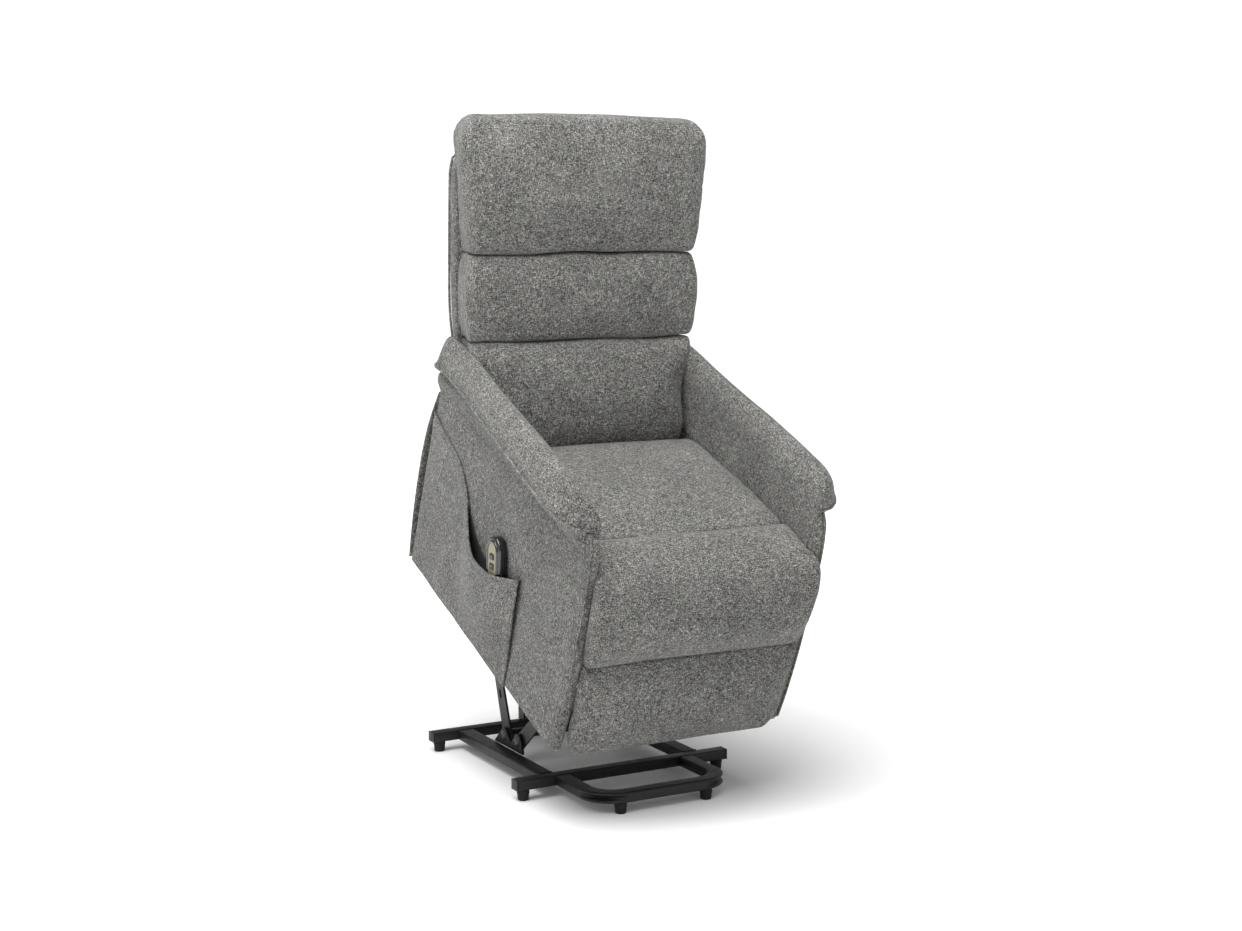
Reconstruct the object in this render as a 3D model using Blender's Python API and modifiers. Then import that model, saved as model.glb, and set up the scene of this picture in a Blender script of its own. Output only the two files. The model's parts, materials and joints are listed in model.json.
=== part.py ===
"""Lift recliner chair, modelled in its lifted pose.

World frame: metres, +Z up, the chair faces -Y, X = 0 is the middle. The floor is Z = 0.
Chair frame: the body of the chair is drawn level, as it stands when it is lowered. There
(forward, up) is measured from the lower rear corner of the side panels, and the chair's
empty tips all of it forward by TILT. The back has a frame of its own, (out, along), which
starts on the recline hinge and leans back by BACK_LEAN.
"""
import math

import bmesh
import bpy
from mathutils import Matrix, Vector

# ---- driving dimensions, metres and degrees ------------------------------------------------
FRONT_BAR_Y = -0.0788          # middle of the front cross bar
GAP = 0.0003                   # clearance between pieces that touch

TILT = 22.3                    # forward lean of the body when lifted
CHAIR_CORNER = (0.503, 0.447)  # lower rear corner of the body: behind the front bar, above floor

BAR_HALF_LENGTH = 0.262
BAR_DEPTH = 0.029
TUBE_BOTTOM = 0.024            # the feet lift the tubes this far
TUBE_TOP = 0.047
REAR_BAR_SETBACK = 0.441
RAIL_X = 0.181
RAIL_WIDTH = 0.036
LOOP_OUTER_X = 0.170
LOOP_REACH = 0.198
LOOP_WIDTH = 0.033
LOOP_CORNER = 0.080
FOOT_RADIUS = 0.0135
FOOT_INSET = 0.021

LIFT_PIVOT = (0.257, 0.070)    # behind the front bar, above floor
FRONT_PIVOT = (0.190, 0.070)
PLATE = 0.005                  # thickness of links and brackets
BRACKET_X = 0.1605
LOWER_LINK_X = 0.1525
UPPER_LINK_X = 0.1445
SEAT_RAIL_X = 0.1365
LOWER_LINK_ANGLE = 70.0
UPPER_PIVOT = (0.203, 0.100)   # forward, up
FRONT_LINK_TOP = (0.5886, 0.050)
BOLT_RADIUS = 0.006

ACTUATOR_FOOT = (0.441, 0.075)
LEVER_LENGTH = 0.120
LEVER_ANGLE = 60.0             # the lever leads the lower link by this angle

INNER_X = 0.249                # inner face of the side panels
OUTER_X = 0.276
BODY_LENGTH = 0.768
ARM_TOP = 0.578
ARM_OUTER_X = 0.330
PANEL_TOP = 0.455

RECLINE_HINGE = (0.030, 0.400)
BACK_LEAN = 20.0
BACK_HEIGHT = 0.652
BACK_HALF_WIDTH = 0.286
SEAM_LOW, SEAM_HIGH = 0.166, 0.357
LOWER_BACK_HALF_WIDTH = 0.243

FOOT_HINGE = (0.790, 0.375)
FOOT_HALF_WIDTH = 0.2485
FOOT_SEAM = 0.210
BAR_PIVOT = (0.580, 0.170)     # footrest linkage on the seat rail
BAR_LENGTH = 0.160
BAR_ANGLE = -47.65
BOARD_PIVOT = (0.740, 0.250)
BOARD_BAR_LENGTH = 0.205
BOARD_BAR_ANGLE = 255.25

HANDSET = (0.425, 0.238)       # middle of the handset, forward and up
HANDSET_X = -0.290
HANDSET_LEAN = 18.0
HANDSET_SIZE = (0.024, 0.060, 0.130)
HANDSET_CORNER = 0.028

# a plate is drawn in its own plane: its first axis points forward, its second one up
SIDE = Matrix(((0, 0, -1), (-1, 0, 0), (0, 1, 0))).to_4x4()


# ---- scene, materials and empties ------------------------------------------------------------
def clear_scene():
    for old in list(bpy.data.objects):
        bpy.data.objects.remove(old, do_unlink=True)


def make_collection(name):
    group = bpy.data.collections.new(name)
    bpy.context.scene.collection.children.link(group)
    return group


def make_material(name, colour, roughness, metallic=0.0):
    finish = bpy.data.materials.new(name)
    finish.use_nodes = True
    shader = finish.node_tree.nodes["Principled BSDF"]
    shader.inputs["Base Color"].default_value = (*colour, 1.0)
    shader.inputs["Roughness"].default_value = roughness
    shader.inputs["Metallic"].default_value = metallic
    finish.diffuse_color = (*colour, 1.0)
    return finish


clear_scene()
PARTS = make_collection("lift_recliner_chair")
CUTTERS = make_collection("cutters")
FABRIC = make_material("grey_fabric", (0.20, 0.20, 0.195), 0.95)
LINING = make_material("dark_lining", (0.05, 0.05, 0.05), 0.95)
STEEL = make_material("black_steel", (0.02, 0.02, 0.02), 0.45, 0.3)
ZINC = make_material("zinc_steel", (0.45, 0.45, 0.45), 0.35, 0.9)
PLASTIC = make_material("black_plastic", (0.015, 0.015, 0.015), 0.35)
RUBBER = make_material("foot_rubber", (0.02, 0.02, 0.02), 0.8)
WOOD = make_material("board_wood", (0.45, 0.30, 0.16), 0.7)
FACE = make_material("handset_face", (0.42, 0.39, 0.28), 0.5)


def make_empty(name, place, turn, parent=None):
    """An empty at place, turned about X by turn degrees."""
    pivot = bpy.data.objects.new(name, None)
    pivot.empty_display_size = 0.05
    pivot.location = place
    pivot.rotation_euler = (math.radians(turn), 0, 0)
    pivot.parent = parent
    PARTS.objects.link(pivot)
    return pivot


def base_point(setback, up):
    return (0, FRONT_BAR_Y + setback, up)


def chair_point(forward, up):
    """World setback from the front bar and height of a point of the lifted body."""
    tilt = math.radians(TILT)
    setback = CHAIR_CORNER[0] - math.cos(tilt) * forward - math.sin(tilt) * up
    height = CHAIR_CORNER[1] - math.sin(tilt) * forward + math.cos(tilt) * up
    return setback, height


def finish_object(obj, material, parent=None, group=None):
    (group or PARTS).objects.link(obj)
    obj.parent = parent
    obj.data.materials.append(material)
    return obj


# ---- shapes ----------------------------------------------------------------------------------
def arc(centre, radius, start, end, steps):
    """Points on a circle, from the start angle to the end angle in degrees."""
    points = []
    for step in range(steps + 1):
        angle = math.radians(start + (end - start) * step / steps)
        points.append((centre[0] + radius * math.cos(angle), centre[1] + radius * math.sin(angle)))
    return points


def circle(centre, radius, steps=12):
    return arc(centre, radius, 0, 360, steps)[:-1]


def slot(centre, length, radius):
    """A slot along the first axis."""
    half = length / 2 - radius
    front = arc((centre[0] + half, centre[1]), radius, -90, 90, 5)
    back = arc((centre[0] - half, centre[1]), radius, 90, 270, 5)
    return front + back


def link_outline(length, radius_start, radius_end):
    """A bar with round ends, from the origin along the first axis."""
    return arc((0, 0), radius_start, 90, 270, 8) + arc((length, 0), radius_end, -90, 90, 8)


def plate(name, outline, thickness, x, material, parent, holes=()):
    """A flat plate parallel to the YZ plane, with its middle at x."""
    curve = bpy.data.curves.new(name, "CURVE")
    curve.dimensions = "2D"
    curve.fill_mode = "BOTH"
    curve.extrude = thickness / 2
    for loop in (outline, *holes):
        spline = curve.splines.new("POLY")
        spline.points.add(len(loop) - 1)
        for point, (forward, up) in zip(spline.points, loop):
            point.co = (forward, up, 0, 1)
        spline.use_cyclic_u = True
    obj = bpy.data.objects.new(name, curve)
    finish_object(obj, material, parent)
    obj.matrix_local = Matrix.Translation((x, 0, 0)) @ SIDE
    return obj


def mesh_object(name, build, material, parent, group=None):
    mesh = bpy.data.meshes.new(name)
    shape = bmesh.new()
    build(shape)
    bmesh.ops.recalc_face_normals(shape, faces=shape.faces[:])
    shape.to_mesh(mesh)
    shape.free()
    return finish_object(bpy.data.objects.new(name, mesh), material, parent, group)


def soften(obj, width, segments=2, angle=30.0):
    bevel = obj.modifiers.new("soft_edges", "BEVEL")
    bevel.width = width
    bevel.segments = segments
    bevel.limit_method = "ANGLE"
    bevel.angle_limit = math.radians(angle)
    obj.data.shade_smooth()
    obj.data.set_sharp_from_angle(angle=math.radians(35))
    return obj


def box(name, low, high, material, parent=None, group=None):
    """A box between two corners."""
    size = [b - a for a, b in zip(low, high)]
    middle = [(a + b) / 2 for a, b in zip(low, high)]
    matrix = Matrix.Translation(middle) @ Matrix.Diagonal((*size, 1))
    return mesh_object(name, lambda shape: bmesh.ops.create_cube(shape, size=1, matrix=matrix),
                       material, parent, group)


def prism(name, outline, x_from, x_to, material, parent=None, group=None):
    """An outline in (forward, up), drawn out from one x to another."""
    def build(shape):
        ring = [shape.verts.new((x_from, -forward, up)) for forward, up in outline]
        side = shape.faces.new(ring)
        made = bmesh.ops.extrude_face_region(shape, geom=[side])["geom"]
        moved = [item for item in made if isinstance(item, bmesh.types.BMVert)]
        bmesh.ops.translate(shape, verts=moved, vec=(x_to - x_from, 0, 0))
    return mesh_object(name, build, material, parent, group)


def loft(name, rings, material, parent):
    """Quads between rings of points, closed by a face at each end."""
    def build(shape):
        loops = [[shape.verts.new(point) for point in ring] for ring in rings]
        for first, second in zip(loops, loops[1:]):
            for index in range(len(first)):
                after = (index + 1) % len(first)
                shape.faces.new((first[index], first[after], second[after], second[index]))
        shape.faces.new(loops[0])
        shape.faces.new(loops[-1])
    return mesh_object(name, build, material, parent)


def rod(name, radius, start, end, material, parent=None, steps=16, group=None):
    """A solid bar between two points."""
    start, end = Vector(start), Vector(end)
    turn = (end - start).to_track_quat("Z", "Y").to_matrix().to_4x4()
    matrix = Matrix.Translation((start + end) / 2) @ turn

    def build(shape):
        bmesh.ops.create_cone(shape, cap_ends=True, segments=steps, radius1=radius, radius2=radius,
                              depth=(end - start).length, matrix=matrix)
    obj = mesh_object(name, build, material, parent, group)
    obj.data.shade_smooth()
    obj.data.set_sharp_from_angle(angle=math.radians(35))
    return obj


def turned(name, profile, steps, material, parent, place, axis="Z"):
    """A turned piece: the profile's (radius, height) points run down its outer side."""
    mesh = bpy.data.meshes.new(name)
    shape = bmesh.new()
    points = [shape.verts.new((radius, 0, height)) for radius, height in profile]
    for first, second in zip(points, points[1:]):
        shape.edges.new((first, second))
    shape.to_mesh(mesh)
    shape.free()
    obj = finish_object(bpy.data.objects.new(name, mesh), material, parent)
    screw = obj.modifiers.new("turn", "SCREW")
    screw.steps = steps
    screw.render_steps = steps
    screw.use_merge_vertices = True
    screw.merge_threshold = 0.00005
    obj.location = place
    if axis != "Z":
        obj.rotation_euler = (0, math.radians(90 if axis == "+X" else -90), 0)
    return obj


def combine(obj, tool, operation):
    """Cut obj with tool, or join tool to it."""
    tool.hide_render = True
    tool.display_type = "WIRE"
    boolean = obj.modifiers.new(operation.lower(), "BOOLEAN")
    boolean.operation = operation
    boolean.object = tool
    return obj


# ---- floor base --------------------------------------------------------------------------------
def cross_bars():
    """The two bars across the base, with a plastic plug in each end."""
    for place, setback in (("front", 0.0), ("rear", REAR_BAR_SETBACK)):
        middle = FRONT_BAR_Y + setback
        low = (-BAR_HALF_LENGTH + 0.003, middle - BAR_DEPTH / 2, TUBE_BOTTOM)
        high = (BAR_HALF_LENGTH - 0.003, middle + BAR_DEPTH / 2, TUBE_TOP)
        soften(box(f"{place}_cross_bar", low, high, STEEL), 0.002, 1)
        for side, sign in (("left", 1), ("right", -1)):
            ends = sorted((sign * (BAR_HALF_LENGTH - 0.003 + GAP), sign * BAR_HALF_LENGTH))
            plug = box(f"bar_plug_{place}_{side}", (ends[0], low[1], low[2]),
                       (ends[1], high[1], high[2]), PLASTIC)
            soften(plug, 0.001, 1)


def side_rails():
    front = FRONT_BAR_Y + BAR_DEPTH / 2 + GAP
    rear = FRONT_BAR_Y + REAR_BAR_SETBACK - BAR_DEPTH / 2 - GAP
    for side, sign in (("left", 1), ("right", -1)):
        edges = (sign * RAIL_X - RAIL_WIDTH / 2, sign * RAIL_X + RAIL_WIDTH / 2)
        rail = box(f"side_rail_{side}", (edges[0], front, TUBE_BOTTOM), (edges[1], rear, TUBE_TOP), STEEL)
        soften(rail, 0.002, 1)


def front_loop():
    """The bent tube in front of the front bar: two legs, two round corners and a front run."""
    rear = FRONT_BAR_Y - BAR_DEPTH / 2 - GAP
    front = FRONT_BAR_Y - LOOP_REACH
    inner_corner = LOOP_CORNER - LOOP_WIDTH
    corner_x = LOOP_OUTER_X - LOOP_CORNER
    corner_y = front + LOOP_CORNER
    outer = arc((-corner_x, corner_y), LOOP_CORNER, 180, 270, 7)
    outer += arc((corner_x, corner_y), LOOP_CORNER, 270, 360, 7)
    inner = arc((corner_x, corner_y), inner_corner, 360, 270, 7)
    inner += arc((-corner_x, corner_y), inner_corner, 270, 180, 7)
    outline = [(-LOOP_OUTER_X, rear), *outer, (LOOP_OUTER_X, rear),
               (LOOP_OUTER_X - LOOP_WIDTH, rear), *inner, (-LOOP_OUTER_X + LOOP_WIDTH, rear)]

    def build(shape):
        face = shape.faces.new([shape.verts.new((x, y, TUBE_BOTTOM)) for x, y in outline])
        made = bmesh.ops.extrude_face_region(shape, geom=[face])["geom"]
        moved = [item for item in made if isinstance(item, bmesh.types.BMVert)]
        bmesh.ops.translate(shape, verts=moved, vec=(0, 0, TUBE_TOP - TUBE_BOTTOM))
    soften(mesh_object("front_loop", build, STEEL, None), 0.002, 1, 60.0)


def feet():
    """Six turned feet: a straight neck and a rounded, slightly tapered end."""
    top = TUBE_BOTTOM - GAP
    profile = [(0, top), (FOOT_RADIUS, top), (FOOT_RADIUS, top * 0.65), (FOOT_RADIUS * 0.90, top * 0.18),
               (FOOT_RADIUS * 0.70, 0), (0, 0)]
    across = BAR_HALF_LENGTH - FOOT_INSET
    spots = {"front": (across, 0.0), "rear": (across, REAR_BAR_SETBACK),
             "loop": (0.104, -LOOP_REACH + LOOP_WIDTH / 2)}
    for place, (x, setback) in spots.items():
        for side, sign in (("left", 1), ("right", -1)):
            spot = (sign * x, FRONT_BAR_Y + setback, 0)
            turned(f"foot_{place}_{side}", profile, 12, RUBBER, None, spot)


def base_brackets():
    """A two-humped plate on each rail, which holds the lower link and the front link."""
    foot = TUBE_TOP + GAP
    front_hump = arc(FRONT_PIVOT, 0.018, 20, 160, 7)
    rear_hump = arc(LIFT_PIVOT, 0.018, 20, 160, 7)
    outline = [(0.305, foot), (0.298, foot + 0.008), *rear_hump, (0.2235, foot + 0.012), *front_hump,
               (0.163, foot + 0.006), (0.163, foot)]
    flipped = [(-setback, up) for setback, up in outline]
    holes = [circle((-pivot[0], pivot[1]), BOLT_RADIUS + GAP) for pivot in (LIFT_PIVOT, FRONT_PIVOT)]
    frame = make_empty("base_frame", (0, FRONT_BAR_Y, 0), 0)
    head = 0.0045
    for side, sign in (("left", 1), ("right", -1)):
        plate(f"base_bracket_{side}", flipped, PLATE, sign * BRACKET_X, STEEL, frame, holes)
        inner = LOWER_LINK_X - PLATE / 2 + GAP
        seat = BRACKET_X + PLATE / 2 + GAP
        profile = [(0, seat + head), (BOLT_RADIUS * 1.5, seat + head), (BOLT_RADIUS * 1.9, seat + head * 0.6),
                   (BOLT_RADIUS * 1.9, seat), (BOLT_RADIUS, seat), (BOLT_RADIUS, inner), (0, inner)]
        turn = "+X" if sign > 0 else "-X"
        for name, pivot in (("link_bolt", LIFT_PIVOT), ("front_bolt", FRONT_PIVOT)):
            turned(f"{name}_{side}", profile, 12, ZINC, None, base_point(*pivot), turn)


def actuator_bracket():
    """Two ears on the rear bar, joined by a foot plate."""
    foot = TUBE_TOP + GAP
    middle = FRONT_BAR_Y + ACTUATOR_FOOT[0]
    body = box("actuator_bracket", (-0.030, middle - 0.014, foot), (0.030, middle + 0.014, 0.092), STEEL)
    gap = box("bracket_gap", (-0.025, middle - 0.05, foot + 0.004), (0.025, middle + 0.05, 0.12),
              STEEL, None, CUTTERS)
    combine(body, gap, "DIFFERENCE")
    start = (-0.05, middle, ACTUATOR_FOOT[1])
    hole = rod("bracket_hole", BOLT_RADIUS + GAP, start, (0.05, middle, ACTUATOR_FOOT[1]), STEEL, None,
               12, CUTTERS)
    combine(body, hole, "DIFFERENCE")


# ---- lift linkage ------------------------------------------------------------------------------
def polar(origin, length, angle):
    turn = math.radians(angle)
    return (origin[0] + length * math.cos(turn), origin[1] + length * math.sin(turn))


def lift_knee():
    """Length of the lower and upper links, and the knee between them."""
    top = chair_point(*UPPER_PIVOT)
    reach = math.dist(LIFT_PIVOT, top)
    bearing = math.degrees(math.atan2(top[1] - LIFT_PIVOT[1], top[0] - LIFT_PIVOT[0]))
    length = reach / 2 / math.cos(math.radians(bearing - LOWER_LINK_ANGLE))
    return length, polar(LIFT_PIVOT, length, LOWER_LINK_ANGLE)


def lift_linkage():
    """Slotted lower links on a cross tube, upper links to the seat rails, and the front links."""
    length, knee = lift_knee()
    upper = chair_point(*UPPER_PIVOT)
    upper_angle = math.degrees(math.atan2(upper[1] - knee[1], upper[0] - knee[0]))
    lower = make_empty("lift_pivot", base_point(*LIFT_PIVOT), LOWER_LINK_ANGLE - 180)
    knees = make_empty("knee_pivot", base_point(*knee), upper_angle - 180)
    front_top = chair_point(*FRONT_LINK_TOP)
    front_length = math.dist(FRONT_PIVOT, front_top)
    front_angle = math.degrees(math.atan2(front_top[1] - FRONT_PIVOT[1], front_top[0] - FRONT_PIVOT[0]))
    fronts = make_empty("front_link_pivot", base_point(*FRONT_PIVOT), front_angle - 180)
    bolt = BOLT_RADIUS + GAP
    slots = [slot((length * 0.46, 0.002), 0.022, 0.004), slot((length * 0.66, -0.001), 0.022, 0.004)]
    for side, sign in (("left", 1), ("right", -1)):
        plate(f"lower_link_{side}", link_outline(length, 0.020, 0.016), PLATE, sign * LOWER_LINK_X,
              STEEL, lower, [circle((0, 0), bolt), circle((length, 0), bolt), *slots])
        plate(f"upper_link_{side}", link_outline(length, 0.015, 0.015), PLATE, sign * UPPER_LINK_X,
              STEEL, knees, [circle((0, 0), bolt), circle((length, 0), bolt)])
        plate(f"front_link_{side}", link_outline(front_length, 0.018, 0.013), PLATE,
              sign * LOWER_LINK_X, STEEL, fronts, [circle((0, 0), bolt)])
    return lower


def lift_drive(lower):
    """The cross tube between the lower links, with the actuator's lever, and the actuator."""
    half = LOWER_LINK_X - PLATE / 2 - GAP
    tube = rod("torque_tube", 0.012, (-half, 0, 0), (half, 0, 0), STEEL, lower)
    lever_frame = make_empty("lever_frame", (0, 0, 0), LEVER_ANGLE, lower)
    arm = box("lever_arm", (-0.0185, -LEVER_LENGTH - 0.012, -0.012), (-0.0115, 0, 0.012),
              STEEL, lever_frame, CUTTERS)
    pin = rod("lever_pin", BOLT_RADIUS, (-0.015, -LEVER_LENGTH, 0), (0.010, -LEVER_LENGTH, 0), STEEL,
              lever_frame, 12, CUTTERS)
    combine(combine(tube, arm, "UNION"), pin, "UNION")

    eye = polar(LIFT_PIVOT, LEVER_LENGTH, LOWER_LINK_ANGLE + LEVER_ANGLE)
    reach = math.dist(ACTUATOR_FOOT, eye)
    bearing = math.degrees(math.atan2(eye[1] - ACTUATOR_FOOT[1], eye[0] - ACTUATOR_FOOT[0]))
    frame = make_empty("actuator_pivot", base_point(*ACTUATOR_FOOT), bearing - 180)
    motor_bar = rod("actuator_tube", 0.020, (0, 0.008, 0), (0, -0.157, 0), PLASTIC, frame)
    motor = rod("motor_can", 0.023, (0, -0.040, 0.005), (0, -0.040, 0.102), PLASTIC, frame, 16, CUTTERS)
    bore = rod("rod_bore", 0.0115, (0, -0.047, 0), (0, -0.20, 0), PLASTIC, frame, 16, CUTTERS)
    ears = rod("foot_pin", BOLT_RADIUS, (-0.0296, 0, 0), (0.0296, 0, 0), PLASTIC, frame, 12, CUTTERS)
    combine(combine(combine(motor_bar, motor, "UNION"), bore, "DIFFERENCE"), ears, "UNION")
    slider = rod("actuator_rod", 0.010, (0, -0.143, 0), (0, -reach + 0.012, 0), ZINC, frame)
    eye_ring = rod("rod_eye", 0.022, (-0.0075, -reach, 0), (0.0075, -reach, 0), ZINC, frame, 20, CUTTERS)
    eye_hole = rod("rod_eye_hole", 0.015, (-0.02, -reach, 0), (0.02, -reach, 0), ZINC, frame, 20, CUTTERS)
    combine(combine(slider, eye_ring, "UNION"), eye_hole, "DIFFERENCE")


# ---- seat frame --------------------------------------------------------------------------------
def seat_frame(chair):
    """Side plates that carry every pivot, two cross rails and the spring deck."""
    hinge_top = arc(RECLINE_HINGE, 0.012, 190, 0, 7)
    outline = [(0.030, 0.125), (0.030, 0.30), (0.020, 0.33), *hinge_top, (0.060, 0.30), (0.085, 0.190), (0.625, 0.190),
               (0.625, 0.140), (0.612, 0.040), (0.600, 0.032), (0.577, 0.032), (0.566, 0.042),
               (0.545, 0.125), (0.240, 0.125), (0.222, 0.086), (0.184, 0.086), (0.166, 0.125)]
    holes = [circle(UPPER_PIVOT, BOLT_RADIUS + GAP), circle(BAR_PIVOT, BOLT_RADIUS + GAP),
             circle(FRONT_LINK_TOP, BOLT_RADIUS + GAP)]
    for side, sign in (("left", 1), ("right", -1)):
        plate(f"seat_rail_{side}", outline, PLATE, sign * SEAT_RAIL_X, STEEL, chair, holes)
    edge = INNER_X - GAP
    front = box("front_cross_rail", (-edge, -0.665, 0.2055), (edge, -0.6255, 0.2275), WOOD, chair)
    rear = box("rear_cross_rail", (-edge, -0.0290, 0.140), (edge, -0.004, 0.185), WOOD, chair)
    soften(front, 0.002, 1)
    soften(rear, 0.002, 1)
    deck = prism("spring_deck", [(0.09, 0.222), (0.09, 0.236), (0.72, 0.246), (0.72, 0.232)],
                 -0.240, 0.240, LINING, chair)
    soften(deck, 0.003, 1)


# ---- upholstered body --------------------------------------------------------------------------
def side_panels(chair):
    """Thin padded panels with a soft front edge."""
    front = arc((BODY_LENGTH - 0.05, 0.385), 0.05, 0, 55, 4)
    outline = [(0, 0), (0, PANEL_TOP), (BODY_LENGTH - 0.035, PANEL_TOP), *reversed(front),
               (BODY_LENGTH, 0.30), (BODY_LENGTH + 0.004, 0.18), (BODY_LENGTH - 0.012, 0)]
    for side, sign in (("left", 1), ("right", -1)):
        panel = prism(f"side_panel_{side}", outline, sign * INNER_X, sign * OUTER_X, FABRIC, chair)
        soften(panel, 0.008, 2)


def arm_section(forward, spread, drop, sign):
    """The arm's cross-section: inner side, crown, outer slope, piped edge and underside."""
    inner, base = INNER_X, PANEL_TOP + GAP
    section = [(inner, base), (inner + 0.002, 0.505), (inner + 0.013, 0.546), (inner + 0.029, 0.570),
               (inner + 0.047, ARM_TOP), (inner + 0.062, 0.567), (inner + 0.074, 0.535),
               (ARM_OUTER_X, 0.506), (ARM_OUTER_X - 0.004, 0.497), (inner + 0.040, 0.468), (OUTER_X, base)]
    ring = []
    for x, up in section:
        lowered = up - drop * max(0.0, (up - base) / (ARM_TOP - base))
        ring.append((sign * (inner + (x - inner) * spread), -forward, lowered))
    return ring


def arm_pads(chair):
    """Padded arm tops that flare outwards to the front and overhang there."""
    stations = [(-0.014, 0.74, 0.012), (0.000, 0.80, 0.0), (0.12, 0.88, 0.0), (0.30, 0.97, 0.0),
                (0.50, 1.0, 0.0), (0.64, 1.0, 0.003), (0.695, 0.94, 0.016), (0.728, 0.72, 0.045),
                (0.740, 0.50, 0.075)]
    for side, sign in (("left", 1), ("right", -1)):
        rings = [arm_section(forward, spread, drop, sign) for forward, spread, drop in stations]
        pad = loft(f"arm_pad_{side}", rings, FABRIC, chair)
        soften(pad, 0.004, 1, 50.0)


def seat_cushion(chair):
    """The seat, with a nose that reaches over the footrest's upper pad."""
    nose = arc((0.772, 0.394), 0.022, -40, 80, 4)
    outline = [(0.268, 0.250), (0.735, 0.256), (0.735, 0.379), (0.770, 0.379), *nose, (0.70, 0.430),
               (0.62, 0.424), (0.52, 0.434), (0.38, 0.430), (0.285, 0.412), (0.268, 0.400)]
    cushion = prism("seat_cushion", outline, -INNER_X + 0.001, INNER_X - 0.001, FABRIC, chair)
    soften(cushion, 0.012, 2)


def rear_skirt(chair):
    """A bowed panel behind the lower body."""
    middle = [(-0.010, 0.402), (-0.026, 0.370), (-0.040, 0.320), (-0.047, 0.250), (-0.048, 0.160),
              (-0.043, 0.080), (-0.030, -0.012)]
    back = [(forward - 0.006, up) for forward, up in middle]
    outline = middle + back[::-1]
    soften(prism("rear_skirt", outline, -0.262, 0.262, FABRIC, chair), 0.002, 1)


def side_pocket(chair):
    """A cloth panel on the right-hand side panel, swelled where the handset stands in it."""
    x = -OUTER_X - GAP
    outline = [(0.004, 0.0), (0.004, 0.376), (0.09, 0.360), (0.152, 0.348), (0.19, 0.326), (0.225, 0.290),
               (0.245, 0.262), (0.270, 0.232), (0.305, 0.212), (0.344, 0.208), (0.42, 0.221),
               (0.47, 0.240), (0.522, 0.264), (0.528, 0.240), (0.526, 0.0)]
    pocket = prism("side_pocket", outline, x, x - 0.005, FABRIC, chair)
    swell = prism("pocket_swell", [(0.335, 0.040), (0.320, 0.2085), (0.344, 0.2075), (0.42, 0.2205),
                                   (0.47, 0.2395), (0.510, 0.2595), (0.510, 0.055)],
                  x, x - 0.0305, FABRIC, chair, CUTTERS)
    frame = make_empty("pocket_frame", (HANDSET_X, -HANDSET[0], HANDSET[1]), -HANDSET_LEAN, chair)
    half = HANDSET_SIZE[1] / 2 + 0.003
    low = -HANDSET_SIZE[2] / 2 - 0.006
    hollow = box("pocket_hollow", (-0.0135, -half - 0.030, low), (0.0155, half, 0.2), FABRIC, frame, CUTTERS)
    combine(combine(pocket, swell, "UNION"), hollow, "DIFFERENCE")


# ---- back --------------------------------------------------------------------------------------
def back_rest(chair):
    """Frame, outer shell and three cushions, all on the recline hinge."""
    back = make_empty("recline_pivot", (0, -RECLINE_HINGE[0], RECLINE_HINGE[1]), -BACK_LEAN, chair)
    low, high = LOWER_BACK_HALF_WIDTH, 0.262
    frame = box("back_frame", (-low, -0.034, -0.085), (low, -0.0135, 0.564), WOOD, back)
    for side, sign in (("left", 1), ("right", -1)):
        inner = SEAT_RAIL_X + PLATE / 2 + 0.001
        ends = sorted((sign * inner, sign * (inner + 0.006)))
        lug = box(f"hinge_lug_{side}", (ends[0], -0.030, -0.050), (ends[1], 0.010, 0.010), WOOD, back,
                  CUTTERS)
        combine(frame, lug, "UNION")

    def shell_ring(out):
        return [(-low, -out, 0.022), (low, -out, 0.022), (low, -out, 0.150), (high, -out, 0.152),
                (high, -out, 0.548), (high - 0.03, -out, 0.575), (-high + 0.03, -out, 0.575),
                (-high, -out, 0.548), (-high, -out, 0.152), (-low, -out, 0.150)]
    soften(loft("back_shell", [shell_ring(0.0), shell_ring(0.013)], FABRIC, back), 0.002, 1)

    start = 0.0343
    lower = [(start, -0.088), (0.120, -0.082), (0.215, -0.058), (0.222, -0.030), (0.205, 0.050),
             (0.188, 0.110), (0.160, SEAM_LOW - 0.003), (start, SEAM_LOW - 0.003)]
    middle = [(start, SEAM_LOW + 0.016), (0.050, SEAM_LOW + 0.004), (0.150, SEAM_LOW), (0.178, SEAM_LOW + 0.03),
              (0.184, 0.265), (0.178, 0.325), (0.155, SEAM_HIGH - 0.003), (start, SEAM_HIGH - 0.003)]
    head = [(start, SEAM_HIGH), (0.165, SEAM_HIGH), (0.190, 0.395), (0.196, 0.480), (0.188, 0.580),
            (0.160, 0.635), (0.110, BACK_HEIGHT), (0.045, 0.640), (0.014, 0.630), (0.0135, 0.577),
            (start, 0.577)]
    for name, outline, half in (("lower_back_cushion", lower, LOWER_BACK_HALF_WIDTH),
                                ("middle_back_cushion", middle, BACK_HALF_WIDTH - 0.004),
                                ("headrest_cushion", head, BACK_HALF_WIDTH)):
        cushion = prism(name, outline, -half, half, FABRIC, back)
        soften(cushion, 0.014 if name != "headrest_cushion" else 0.010, 2)


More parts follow.
